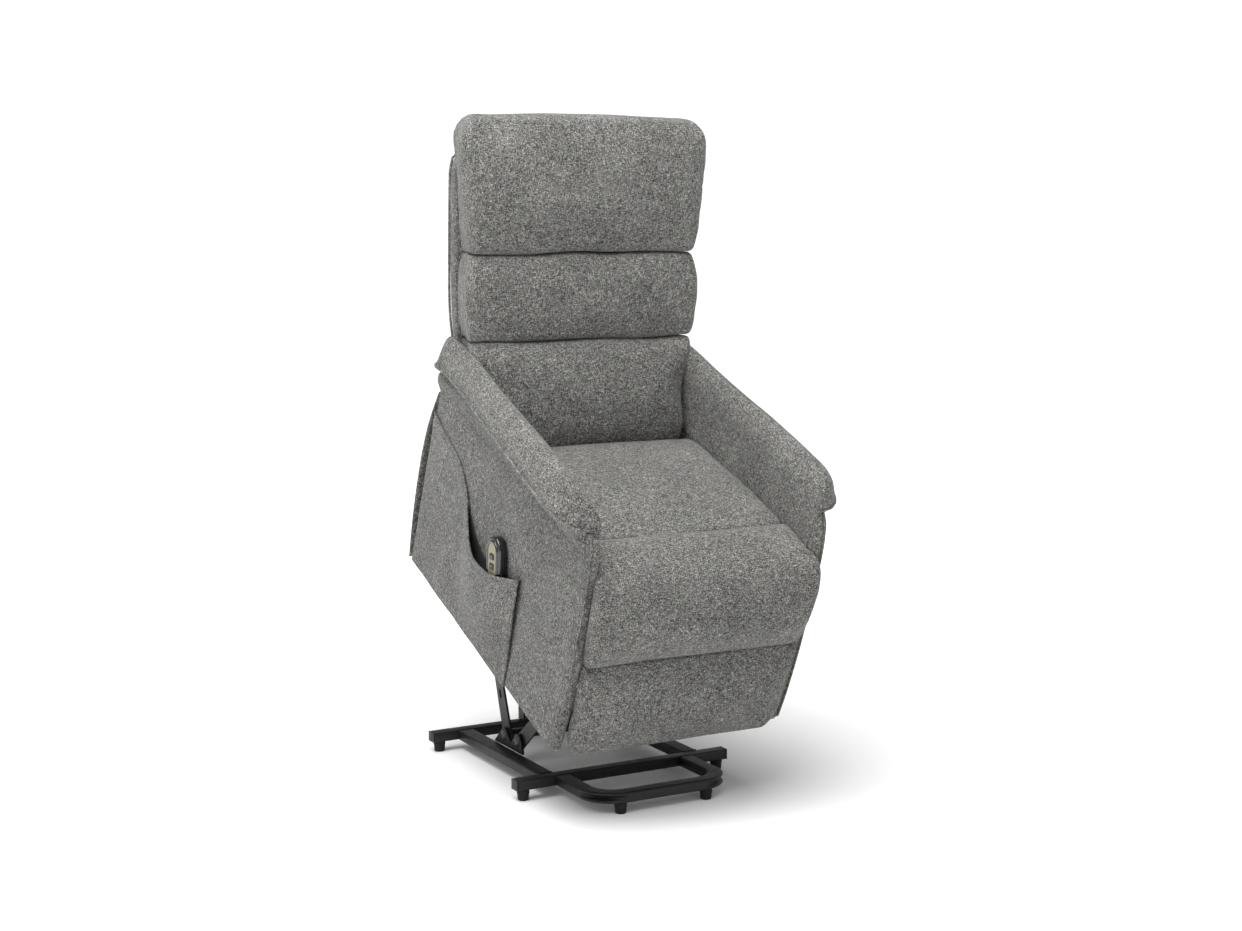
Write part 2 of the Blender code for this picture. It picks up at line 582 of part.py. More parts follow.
# ---- footrest ----------------------------------------------------------------------------------
def footrest(chair):
    """Board and two pads, hinged at the front edge of the seat, and the bars that push them."""
    hinge = make_empty("footrest_hinge", (0, -FOOT_HINGE[0], FOOT_HINGE[1]), 0, chair)
    back, skin = 0.745 - FOOT_HINGE[0], 0.757 - FOOT_HINGE[0]
    board = prism("footrest_board", [(back, 0.012 - FOOT_HINGE[1]), (skin - GAP, 0.012 - FOOT_HINGE[1]),
                                     (skin - GAP, 0.352 - FOOT_HINGE[1]), (back, 0.352 - FOOT_HINGE[1])],
                  -0.235, 0.235, WOOD, hinge)
    soften(board, 0.002, 1)
    upper = [(0.757, 0.225), (0.757, 0.372), (0.785, 0.3745), (0.797, 0.360), (0.806, 0.320),
             (0.806, 0.265), (0.797, 0.226), (0.780, FOOT_SEAM + 0.003)]
    lower = [(0.757, 0.222), (0.776, FOOT_SEAM - 0.001), (0.790, 0.198), (0.797, 0.150), (0.793, 0.070),
             (0.782, 0.008), (0.768, -0.012), (0.757, -0.010)]
    for name, outline in (("footrest_upper_pad", upper), ("footrest_lower_pad", lower)):
        placed = [(forward - FOOT_HINGE[0], up - FOOT_HINGE[1]) for forward, up in outline]
        half = FOOT_HALF_WIDTH - GAP
        soften(prism(name, placed, -half, half, FABRIC, hinge), 0.006, 2)

    swing = make_empty("footrest_bar_pivot", (0, -BAR_PIVOT[0], BAR_PIVOT[1]), -BAR_ANGLE, chair)
    at_board = (0, FOOT_HINGE[0] - BOARD_PIVOT[0], BOARD_PIVOT[1] - FOOT_HINGE[1])
    push = make_empty("board_bar_pivot", at_board, -BOARD_BAR_ANGLE, hinge)
    hole = circle((0, 0), BOLT_RADIUS + GAP)
    for side, sign in (("left", 1), ("right", -1)):
        plate(f"footrest_bar_{side}", link_outline(BAR_LENGTH, 0.012, 0.010), PLATE,
              sign * UPPER_LINK_X, STEEL, swing, [hole])
        plate(f"board_bar_{side}", link_outline(BOARD_BAR_LENGTH, 0.0045, 0.010), PLATE,
              sign * LOWER_LINK_X, STEEL, push)


# ---- handset -----------------------------------------------------------------------------------
def rounded_outline(width, height, corner, steps=6):
    """A rounded rectangle in (forward, up)."""
    x, y = width / 2 - corner, height / 2 - corner
    return (arc((x, y), corner, 0, 90, steps) + arc((-x, y), corner, 90, 180, steps)
            + arc((-x, -y), corner, 180, 270, steps) + arc((x, -y), corner, 270, 360, steps))


def handset(chair):
    """Case, face plate and two buttons, standing in the pocket."""
    thick, width, height = HANDSET_SIZE
    frame = make_empty("handset_slide", (HANDSET_X, -HANDSET[0], HANDSET[1]), -HANDSET_LEAN, chair)
    case = prism("handset_case", rounded_outline(width, height, HANDSET_CORNER), thick / 2, -thick / 2 + 0.0022,
                 PLASTIC, frame)
    soften(case, 0.004, 2)
    surface = -thick / 2 + 0.0022
    raised = 0.012
    buttons = {"button_up": 0.0105, "button_down": -0.0105}
    half_width, half_height = 0.0095, 0.0065
    holes = []
    for offset in buttons.values():
        hole = rounded_outline(2 * half_width + 0.001, 2 * half_height + 0.001, 0.003, 2)
        holes.append([(forward, up + offset + raised) for forward, up in hole])
    plate("handset_face", rounded_outline(width - 0.016, height - 0.020, 0.0215, 5), 0.0012,
          surface - 0.0006 - GAP, FACE, frame, holes)
    for name, offset in buttons.items():
        outline = rounded_outline(2 * half_width, 2 * half_height, 0.0025, 2)
        placed = [(forward, up + offset + raised) for forward, up in outline]
        prism(name, placed, surface - 0.0013, surface - 0.0034, PLASTIC, frame)


# ---- the whole chair ---------------------------------------------------------------------------
cross_bars()
side_rails()
front_loop()
feet()
base_brackets()
actuator_bracket()
lift_drive(lift_linkage())

CHAIR = make_empty("chair_frame", base_point(*CHAIR_CORNER), TILT)
seat_frame(CHAIR)
side_panels(CHAIR)
arm_pads(CHAIR)
seat_cushion(CHAIR)
rear_skirt(CHAIR)
side_pocket(CHAIR)
back_rest(CHAIR)
footrest(CHAIR)
handset(CHAIR)
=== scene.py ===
"""Looks of the lift recliner chair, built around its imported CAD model.

Chair frame: x is the world's X, f is forward from the lower rear corner of the side panels
and u is up from it, as the chair stands when it is lowered. Back frame: n is out of the
outer shell's rear face and h is up along it, from the recline hinge.
"""
import json
import math

import bmesh
import bpy
import numpy as np
from mathutils import Matrix, Vector, noise


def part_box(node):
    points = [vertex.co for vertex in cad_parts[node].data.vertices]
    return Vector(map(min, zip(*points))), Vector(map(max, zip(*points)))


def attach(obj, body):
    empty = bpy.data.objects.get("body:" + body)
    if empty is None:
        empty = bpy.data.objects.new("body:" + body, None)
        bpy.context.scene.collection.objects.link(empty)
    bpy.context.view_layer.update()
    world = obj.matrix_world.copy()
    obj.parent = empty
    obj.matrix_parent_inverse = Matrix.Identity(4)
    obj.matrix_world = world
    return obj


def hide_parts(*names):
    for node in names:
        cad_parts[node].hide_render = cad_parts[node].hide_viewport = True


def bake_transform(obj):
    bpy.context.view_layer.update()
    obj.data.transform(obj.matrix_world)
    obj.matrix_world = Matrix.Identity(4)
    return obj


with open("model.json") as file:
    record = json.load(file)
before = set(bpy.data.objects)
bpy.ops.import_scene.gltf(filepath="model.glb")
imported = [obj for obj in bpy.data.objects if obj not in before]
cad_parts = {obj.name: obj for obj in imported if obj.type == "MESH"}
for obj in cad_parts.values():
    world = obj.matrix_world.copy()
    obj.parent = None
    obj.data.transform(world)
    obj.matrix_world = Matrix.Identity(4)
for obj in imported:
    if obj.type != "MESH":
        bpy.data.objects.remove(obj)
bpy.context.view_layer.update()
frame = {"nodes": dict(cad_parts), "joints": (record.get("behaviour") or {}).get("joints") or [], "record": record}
NODES = frame["nodes"]
JOINTS = {joint["name"]: joint for joint in frame["joints"]}

# ---- the chair's own axes, placed by its joints ------------------------------------------------
TILT = math.radians(22.3)
BACK_LEAN = math.radians(20.0)
RECLINE_HINGE = (0.030, 0.400)
_hinge = Vector(JOINTS["backrest_recline"]["pos_m"])
FORWARD = Vector((0, -math.cos(TILT), -math.sin(TILT)))
UP = Vector((0, -math.sin(TILT), math.cos(TILT)))
ORIGIN = _hinge - FORWARD * RECLINE_HINGE[0] - UP * RECLINE_HINGE[1]


def chair_points(points):
    """World places of an array of (x, f, u)."""
    points = np.asarray(points, float)
    base = points[..., 1:2] * np.array(FORWARD) + points[..., 2:3] * np.array(UP) + np.array(ORIGIN)
    base[..., 0] += points[..., 0]
    return base


def back_points(points):
    """World places of an array of (x, n, h)."""
    points = np.asarray(points, float)
    x, n, h = points[..., 0], points[..., 1], points[..., 2]
    f = RECLINE_HINGE[0] + n * math.cos(BACK_LEAN) - h * math.sin(BACK_LEAN)
    u = RECLINE_HINGE[1] + n * math.sin(BACK_LEAN) + h * math.cos(BACK_LEAN)
    return chair_points(np.stack([x, f, u], axis=-1))


def to_chair(world):
    """(x, f, u) of an array of world points."""
    offset = np.asarray(world, float) - np.array(ORIGIN)
    return np.stack([offset[:, 0], offset @ np.array(FORWARD), offset @ np.array(UP)], axis=-1)


def to_back(world):
    """(x, n, h) of an array of world points."""
    local = to_chair(world)
    f, u = local[:, 1] - RECLINE_HINGE[0], local[:, 2] - RECLINE_HINGE[1]
    n = f * math.cos(BACK_LEAN) + u * math.sin(BACK_LEAN)
    h = -f * math.sin(BACK_LEAN) + u * math.cos(BACK_LEAN)
    return np.stack([local[:, 0], n, h], axis=-1)


# ---- curves ------------------------------------------------------------------------------------
def smooth_through(points, count, closed=False):
    """count points on a Catmull-Rom curve through the given ones, evenly spread."""
    points = np.asarray(points, float)
    size = len(points)
    spans = size if closed else size - 1
    fine = []
    for span in range(spans):
        ids = [span - 1, span, span + 1, span + 2]
        ids = [i % size for i in ids] if closed else [min(max(i, 0), size - 1) for i in ids]
        a, b, c, d = (points[i] for i in ids)
        for step in range(16):
            t = step / 16
            fine.append(0.5 * (2 * b + (c - a) * t + (2 * a - 5 * b + 4 * c - d) * t * t
                               + (3 * b - a - 3 * c + d) * t ** 3))
    fine.append(points[0] if closed else points[-1])
    fine = np.array(fine)
    along = np.concatenate([[0], np.cumsum(np.linalg.norm(np.diff(fine, axis=0), axis=1))])
    wanted = np.linspace(0, along[-1], count + 1)[:-1] if closed else np.linspace(0, along[-1], count)
    return np.stack([np.interp(wanted, along, fine[:, k]) for k in range(points.shape[1])], axis=-1)


def smooth_value(at, keys):
    """Smooth interpolation of (place, value) pairs."""
    places, values = np.array(keys, float).T
    at = np.clip(np.asarray(at, float), places[0], places[-1])
    slopes = np.gradient(values, places)
    i = np.clip(np.searchsorted(places, at) - 1, 0, len(places) - 2)
    width = places[i + 1] - places[i]
    t = (at - places[i]) / width
    return ((2 * t ** 3 - 3 * t ** 2 + 1) * values[i] + (t ** 3 - 2 * t ** 2 + t) * width * slopes[i]
            + (3 * t ** 2 - 2 * t ** 3) * values[i + 1] + (t ** 3 - t ** 2) * width * slopes[i + 1])


def distance_to(points, line):
    """Distance of each 2-D point from a polyline."""
    best = np.full(len(points), 1e9)
    for a, b in zip(line, line[1:]):
        span = b - a
        t = np.clip(((points - a) @ span) / max(span @ span, 1e-12), 0, 1)
        best = np.minimum(best, np.linalg.norm(points - a - t[:, None] * span, axis=1))
    return best


def round_over(distance, radius):
    """How far a surface falls at this distance inside an edge that is rounded by radius."""
    inside = np.clip(radius - np.asarray(distance, float), 0, radius)
    return radius - np.sqrt(np.maximum(radius ** 2 - inside ** 2, 0))


# ---- meshes ------------------------------------------------------------------------------------
def link_object(name, mesh):
    obj = bpy.data.objects.new(name, mesh)
    bpy.context.scene.collection.objects.link(obj)
    return obj


def dress(obj, material):
    """Gives the piece this one material."""
    obj.data.materials.clear()
    obj.data.materials.append(material)


def add_mesh(name, verts, faces, material=None):
    mesh = bpy.data.meshes.new(name)
    mesh.from_pydata([tuple(map(float, v)) for v in verts], [], [tuple(map(int, f)) for f in faces])
    mesh.validate()
    mesh.shade_smooth()
    obj = link_object(name, mesh)
    if material:
        mesh.materials.append(material)
    return obj


def outward(obj):
    shape = bmesh.new()
    shape.from_mesh(obj.data)
    bmesh.ops.recalc_face_normals(shape, faces=shape.faces[:])
    shape.to_mesh(obj.data)
    shape.free()
    return obj


def loft(name, rings, material=None, closed_path=False):
    """Quads between closed rings of points; the ends are closed by fans unless the path is closed."""
    rings = np.asarray(rings, float)
    stations, around = rings.shape[:2]
    verts = list(rings.reshape(-1, 3))
    faces = []
    spans = stations if closed_path else stations - 1
    for i in range(spans):
        a, b = i * around, ((i + 1) % stations) * around
        for j in range(around):
            k = (j + 1) % around
            faces.append((a + j, a + k, b + k, b + j))
    if not closed_path:
        for station in (0, stations - 1):
            centre = len(verts)
            verts.append(rings[station].mean(axis=0))
            start = station * around
            faces += [(start + j, start + (j + 1) % around, centre) for j in range(around)]
    return outward(add_mesh(name, verts, faces, material))


def two_skins(name, outer, inner, lines, each, material):
    """A thin closed piece from two grids of points, each of lines rows of each points."""
    size = lines * each
    faces = []
    for i in range(lines - 1):
        for j in range(each - 1):
            a = i * each + j
            faces.append((a, a + 1, a + each + 1, a + each))
            faces.append((size + a, size + a + each, size + a + each + 1, size + a + 1))
    rim = ([(0, j) for j in range(each)] + [(i, each - 1) for i in range(1, lines)]
           + [(lines - 1, j) for j in range(each - 2, -1, -1)] + [(i, 0) for i in range(lines - 2, 0, -1)])
    for (i, j), (k, m) in zip(rim, rim[1:] + rim[:1]):
        a, b = i * each + j, k * each + m
        faces.append((a, b, size + b, size + a))
    verts = np.concatenate([chair_points(np.asarray(outer)), chair_points(np.asarray(inner))])
    return outward(add_mesh(name, verts, faces, material))


def tube(name, path, radius, material, around=10, closed_path=False):
    """A round tube along a path of points."""
    path = np.asarray(path, float)
    step = np.gradient(path, axis=0)
    if closed_path:
        step = np.roll(path, -1, axis=0) - np.roll(path, 1, axis=0)
    step /= np.linalg.norm(step, axis=1)[:, None]
    side = np.cross(step[0], (0.13, 0.37, 0.92))
    rings = []
    angles = np.linspace(0, 2 * math.pi, around, endpoint=False)
    for place, heading in zip(path, step):
        side = side - heading * (side @ heading)
        side /= np.linalg.norm(side)
        other = np.cross(heading, side)
        rings.append(place + radius * (np.cos(angles)[:, None] * side + np.sin(angles)[:, None] * other))
    return loft(name, rings, material, closed_path)


def settle(obj):
    """Applies every modifier to the mesh."""
    bpy.context.view_layer.update()
    evaluated = obj.evaluated_get(bpy.context.evaluated_depsgraph_get())
    mesh = bpy.data.meshes.new_from_object(evaluated)
    old = obj.data
    obj.modifiers.clear()
    obj.data = mesh
    mesh.name = obj.name
    bpy.data.meshes.remove(old)
    obj.data.shade_smooth()
    return obj


def add_modifier(obj, kind, **settings):
    modifier = obj.modifiers.new(kind.lower(), kind)
    for key, value in settings.items():
        setattr(modifier, key, value)
    return modifier


def coordinates(obj):
    flat = np.zeros(len(obj.data.vertices) * 3)
    obj.data.vertices.foreach_get("co", flat)
    return flat.reshape(-1, 3)


def normals(obj):
    flat = np.zeros(len(obj.data.vertices) * 3)
    obj.data.vertices.foreach_get("normal", flat)
    return flat.reshape(-1, 3)


def set_coordinates(obj, points):
    obj.data.vertices.foreach_set("co", np.asarray(points, float).ravel())
    obj.data.update()


def push(obj, amount):
    """Moves each vertex along its normal."""
    set_coordinates(obj, coordinates(obj) + normals(obj) * np.asarray(amount)[:, None])


def ripple(obj, height, scale, seed=0.0, stretch=(1, 1, 1)):
    """Soft unevenness of cloth over filling."""
    factor = np.array(stretch) * scale
    values = [noise.noise(Vector(point) + Vector((seed, seed * 0.7, -seed))) for point in coordinates(obj) * factor]
    push(obj, height * np.array(values))


def even_mesh(obj, voxel):
    add_modifier(obj, "REMESH", mode="VOXEL", voxel_size=voxel)
    return settle(obj)


def puff(obj, cap, pinned, pressure=4.0, frames=20):
    """Cloth simulation: the closed skin swells under pressure, no point moves further than cap."""
    rest = coordinates(obj)
    hold = obj.vertex_groups.new(name="pinned")
    hold.add([int(i) for i in np.flatnonzero(pinned)], 1.0, "REPLACE")
    scene = bpy.context.scene
    scene.frame_set(1)
    cloth = obj.modifiers.new("cloth", "CLOTH")
    cloth.settings.quality = 4
    cloth.settings.mass = 0.3
    cloth.settings.tension_stiffness = 12
    cloth.settings.compression_stiffness = 12
    cloth.settings.shear_stiffness = 4
    cloth.settings.bending_stiffness = 0.3
    cloth.settings.use_pressure = True
    cloth.settings.uniform_pressure_force = pressure
    cloth.settings.vertex_group_mass = "pinned"
    cloth.settings.effector_weights.gravity = 0.0
    cloth.collision_settings.use_collision = False
    cloth.point_cache.frame_start = 1
    cloth.point_cache.frame_end = frames
    for step in range(1, frames + 1):
        scene.frame_set(step)
    evaluated = obj.evaluated_get(bpy.context.evaluated_depsgraph_get())
    moved = np.zeros(len(rest) * 3)
    evaluated.data.vertices.foreach_get("co", moved)
    moved = moved.reshape(-1, 3) - rest
    obj.modifiers.clear()
    scene.frame_set(1)
    length = np.linalg.norm(moved, axis=1)
    length = np.maximum(length, 1e-9)
    limited = cap * np.tanh(length / cap)
    set_coordinates(obj, rest + moved * (limited / length)[:, None])
    obj.vertex_groups.clear()
    return obj


def refine(obj, levels=1):
    add_modifier(obj, "SUBSURF", levels=levels, render_levels=levels)
    return settle(obj)


# ---- materials ---------------------------------------------------------------------------------
def new_material(name):
    material = bpy.data.materials.new(name)
    material.use_nodes = True
    tree = material.node_tree
    return material, tree, tree.nodes["Principled BSDF"]


def add_node(tree, kind, **inputs):
    node = tree.nodes.new(kind)
    for key, value in inputs.items():
        if key in node.inputs:
            node.inputs[key].default_value = value
        else:
            setattr(node, key, value)
    return node


def object_coordinates(tree, turn=0.0):
    """The piece's own coordinates, turned about X so that the weave follows the piece."""
    source = tree.nodes.new("ShaderNodeTexCoord")
    mapping = tree.nodes.new("ShaderNodeMapping")
    mapping.inputs["Rotation"].default_value = (-turn, 0, 0)
    tree.links.new(source.outputs["Object"], mapping.inputs["Vector"])
    return mapping.outputs["Vector"]


def stretched_noise(tree, vector, scale, detail=2.0, roughness=0.5):
    mapping = tree.nodes.new("ShaderNodeMapping")
    mapping.inputs["Scale"].default_value = scale
    tree.links.new(vector, mapping.inputs["Vector"])
    texture = add_node(tree, "ShaderNodeTexNoise", Scale=1.0, Detail=detail, Roughness=roughness)
    tree.links.new(mapping.outputs["Vector"], texture.inputs["Vector"])
    return texture.outputs["Fac"]


def math_node(tree, operation, first, second):
    node = add_node(tree, "ShaderNodeMath", operation=operation)
    for socket, value in zip(node.inputs, (first, second)):
        if isinstance(value, (int, float)):
            socket.default_value = value
        else:
            tree.links.new(value, socket)
    return node.outputs[0]


def ramp(tree, source, stops):
    node = tree.nodes.new("ShaderNodeValToRGB")
    elements = node.color_ramp.elements
    while len(elements) < len(stops):
        elements.new(0.5)
    for element, (place, colour) in zip(elements, stops):
        element.position = place
        element.color = (*colour, 1) if isinstance(colour, tuple) else (colour, colour, colour, 1)
    tree.links.new(source, node.inputs["Fac"])
    return node.outputs["Color"]


def fabric_material(name, turn, bright=1.0):
    """Heathered chenille: short slubs of light and dark yarn along and across the piece."""
    material, tree, shader = new_material(name)
    vector = object_coordinates(tree, turn)
    slubs = [stretched_noise(tree, vector, scale, 2.5, 0.7)
             for scale in ((470, 470, 135), (470, 135, 470), (135, 470, 470))]
    yarns = math_node(tree, "MULTIPLY", math_node(tree, "ADD", math_node(tree, "ADD", slubs[0], slubs[1]), slubs[2]),
                      1 / 3)
    fine = stretched_noise(tree, vector, (860, 860, 860), 2.0, 0.7)
    mottle = stretched_noise(tree, vector, (70, 70, 70), 2.0, 0.5)
    patch = stretched_noise(tree, vector, (9, 9, 9), 2.0)
    mixed = math_node(tree, "ADD", math_node(tree, "MULTIPLY", yarns, 0.66), math_node(tree, "MULTIPLY", fine, 0.26))
    mixed = math_node(tree, "ADD", mixed, math_node(tree, "MULTIPLY", mottle, 0.045))
    mixed = math_node(tree, "ADD", mixed, math_node(tree, "MULTIPLY", patch, 0.035))
    warm = (1.0, 0.985, 0.93)

    def yarn(value):
        return tuple(value * bright * part for part in warm)
    colour = ramp(tree, mixed, [(0.425, yarn(0.012)), (0.475, yarn(0.062)), (0.520, yarn(0.150)), (0.590, yarn(0.43))])
    tree.links.new(colour, shader.inputs["Base Color"])
    bump = add_node(tree, "ShaderNodeBump", Strength=0.75, Distance=0.0022)
    tree.links.new(mixed, bump.inputs["Height"])
    tree.links.new(bump.outputs["Normal"], shader.inputs["Normal"])
    shader.inputs["Roughness"].default_value = 0.95
    shader.inputs["Specular IOR Level"].default_value = 0.18
    shader.inputs["Sheen Weight"].default_value = 0.12
    shader.inputs["Sheen Roughness"].default_value = 0.45
    return material


def plain_material(name, colour, roughness, metallic=0.0, grain=(0.0, 400.0), spread=0.12, coat=0.0, specular=0.5):
    """Paint, plastic, rubber or metal with a little variation in tone, gloss and surface."""
    material, tree, shader = new_material(name)
    vector = object_coordinates(tree)
    patches = stretched_noise(tree, vector, (14, 14, 14), 4.0, 0.6)
    shades = [tuple(c * (1 - spread) for c in colour), tuple(min(1.0, c * (1 + spread)) for c in colour)]
    tree.links.new(ramp(tree, patches, [(0.3, shades[0]), (0.7, shades[1])]), shader.inputs["Base Color"])
    gloss = ramp(tree, stretched_noise(tree, vector, (60, 60, 60), 3.0), [(0.3, roughness * 0.88),
                                                                        (0.7, min(1.0, roughness * 1.12))])
    tree.links.new(gloss, shader.inputs["Roughness"])
    if grain[0]:
        texture = stretched_noise(tree, vector, (grain[1],) * 3, 2.0)
        bump = add_node(tree, "ShaderNodeBump", Strength=grain[0], Distance=0.0004)
        tree.links.new(texture, bump.inputs["Height"])
        tree.links.new(bump.outputs["Normal"], shader.inputs["Normal"])
    shader.inputs["Metallic"].default_value = metallic
    shader.inputs["Specular IOR Level"].default_value = specular
    if coat:
        shader.inputs["Coat Weight"].default_value = coat
        shader.inputs["Coat Roughness"].default_value = 0.08
    return material


def wood_material(name, turn):
    material, tree, shader = new_material(name)
    vector = object_coordinates(tree, turn)
    grain = stretched_noise(tree, vector, (6, 160, 160), 5.0, 0.6)
    colour = ramp(tree, grain, [(0.3, (0.30, 0.18, 0.085)), (0.55, (0.47, 0.31, 0.16)), (0.75, (0.60, 0.43, 0.25))])
    tree.links.new(colour, shader.inputs["Base Color"])
    bump = add_node(tree, "ShaderNodeBump", Strength=0.3, Distance=0.0006)
    tree.links.new(grain, bump.inputs["Height"])
    tree.links.new(bump.outputs["Normal"], shader.inputs["Normal"])
    shader.inputs["Roughness"].default_value = 0.68
    return material


BODY_FABRIC = fabric_material("chenille_body", TILT)
BACK_FABRIC = fabric_material("chenille_back", TILT - BACK_LEAN)
# dark cloth: over the back frame under the cushions, and the dark sheet inside the pocket's mouth
DARK_CLOTH = plain_material("dark_cloth", (0.035, 0.035, 0.036), 0.95, grain=(0.8, 700), spread=0.3, specular=0.1)
STEEL = plain_material("powder_coat", (0.008, 0.008, 0.0083), 0.44, grain=(0.35, 900), spread=0.25, specular=0.36)
ZINC = plain_material("zinc", (0.48, 0.48, 0.49), 0.34, 1.0, grain=(0.2, 300))
PLASTIC = plain_material("plastic", (0.009, 0.009, 0.0095), 0.5, grain=(0.4, 1200), spread=0.2, specular=0.4)
DARK_ZINC = plain_material("black_zinc", (0.10, 0.10, 0.105), 0.36, 1.0, grain=(0.2, 300))
GLOSS = plain_material("handset_black", (0.008, 0.008, 0.008), 0.16, spread=0.1, coat=0.6)
RUBBER = plain_material("rubber", (0.010, 0.010, 0.010), 0.72, grain=(0.5, 800), spread=0.25, specular=0.3)
KHAKI = plain_material("handset_khaki", (0.225, 0.212, 0.135), 0.42, grain=(0.15, 900), spread=0.05)
BUTTON = plain_material("button_black", (0.02, 0.02, 0.02), 0.55, grain=(0.3, 1500), spread=0.1)
THREAD = plain_material("thread", (0.155, 0.152, 0.142), 0.85, grain=(0.6, 1500), spread=0.2, specular=0.1)
WOOD = wood_material("board", TILT)
MARK = plain_material("button_mark", (0.20, 0.20, 0.18), 0.5, spread=0.04)

FABRIC_SLOT = "grey_fabric"


def finished(obj, body, slot, *nodes):
    """Rides on a body and stands for these CAD nodes; slot is not used."""
    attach(obj, body)
    if nodes:
        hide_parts(*nodes)
    return obj


def stitches(name, path, material, body, pitch=0.0052, length=0.0034, radius=0.00055, lift=0.0):
    """A row of short raised stitches along a path of points on a surface."""
    path = np.asarray(path, float)
    along = np.concatenate([[0], np.cumsum(np.linalg.norm(np.diff(path, axis=0), axis=1))])
    verts, faces = [], []
    count = int(along[-1] / pitch)
    for i in range(count):
        ends = []
        for place in (i * pitch, i * pitch + length):
            ends.append(np.array([np.interp(place, along, path[:, k]) for k in range(3)]))
        heading = ends[1] - ends[0]
        heading /= max(np.linalg.norm(heading), 1e-9)
        side = np.cross(heading, (0.31, 0.22, 0.93))
        side /= np.linalg.norm(side)
        other = np.cross(heading, side)
        rings = []
        for where, size in ((0.0, 0.45), (0.2, 1.0), (0.8, 1.0), (1.0, 0.45)):
            centre = ends[0] + (ends[1] - ends[0]) * where
            ring = [centre + radius * size * (math.cos(a) * side + math.sin(a) * other)
                    for a in np.linspace(0, 2 * math.pi, 6, endpoint=False)]
            rings.append(ring)
        start = len(verts)
        for ring in rings:
            verts += ring
        for r in range(3):
            for j in range(6):
                k = (j + 1) % 6
                faces.append((start + r * 6 + j, start + r * 6 + k, start + (r + 1) * 6 + k, start + (r + 1) * 6 + j))
        faces.append(tuple(start + j for j in range(6))[::-1])
        faces.append(tuple(start + 18 + j for j in range(6)))
    obj = outward(add_mesh(name, verts, faces, material))
    return finished(obj, body, FABRIC_SLOT)


def welt(name, path, radius, material, body, closed_path=False):
    """Fabric-covered piping."""
    piece = tube(name, path, radius, material, 10, closed_path)
    return finished(piece, body, FABRIC_SLOT)


# ---- back cushions -----------------------------------------------------------------------------
def back_cushion(name, node, h_range, width, front, rear, ends, cap, voxel=0.0065):
    """A boxed cushion of the back. width, front and rear are (h, value) keys: half width at the
    front edge, how far the face stands out, and where the cushion meets the frame."""
    low, high = h_range
    heights = np.concatenate([low + np.array([0, 0.002, 0.006, 0.012, 0.020, 0.030]),
                              np.linspace(low + 0.045, high - 0.045, 9),
                              high - np.array([0.030, 0.020, 0.012, 0.006, 0.002, 0])])
    rings = []
    for h in heights:
        fall_low = round_over(h - low, ends[0])
        fall_high = round_over(high - h, ends[1])
        w = float(smooth_value(h, width)) - 0.12 * fall_low - (0.12 if high < BACK_TOP else 0.8) * fall_high
        face = float(smooth_value(h, front)) - 0.9 * fall_low - 1.0 * fall_high
        back = float(smooth_value(h, rear)) + 0.35 * fall_high
        depth = face - back
        side = [(w - 0.029, back), (w - 0.027, back + 0.14 * depth), (w - 0.019, back + 0.40 * depth),
                (w - 0.008, back + 0.64 * depth), (w, back + 0.84 * depth), (w - 0.011, back + 0.965 * depth),
                (w * 0.72, face), (w * 0.35, face + 0.004), (0, face + 0.005)]
        mirrored = [(-x, n) for x, n in side[-2::-1]]
        outline = np.array(side + mirrored)
        lift = 0.007 * float(np.clip((h - 0.50) / 0.14, 0, 1))
        rings.append([(x, n, h + lift * (1 - (x / 0.28) ** 2)) for x, n in outline])
    obj = loft(name, back_points(np.array(rings)))
    even_mesh(obj, voxel)
    local = to_back(coordinates(obj))
    pinned = (local[:, 1] < 0.062) | (local[:, 2] < low + 0.010)
    if ends[1] < 0.05:
        pinned |= local[:, 2] > high - 0.010
    puff(obj, cap, pinned)
    refine(obj)
    dress(obj, BACK_FABRIC)
    return obj


def pucker(obj, edges, height=0.0016, reach=0.055, wave=0.030, seed=3.0):
    """Short gathers that run away from sewn edges. edges are distances of each vertex from one."""
    amount = np.zeros(len(obj.data.vertices))
    for index, (distance, along) in enumerate(edges):
        fade = np.exp(-(np.maximum(distance, 0) / reach) ** 2) * np.clip(distance / 0.006, 0, 1)
        waves = np.array([noise.noise(Vector((a / wave, seed + index * 9.1, d / (reach * 2.2))))
                          for a, d in zip(along, distance)])
        amount += height * fade * waves
    push(obj, amount)


def groove(obj, distance, depth, width):
    push(obj, -depth * np.exp(-(distance / width) ** 2))


SEAM_LOW, SEAM_HIGH, BACK_TOP = 0.166, 0.357, 0.648


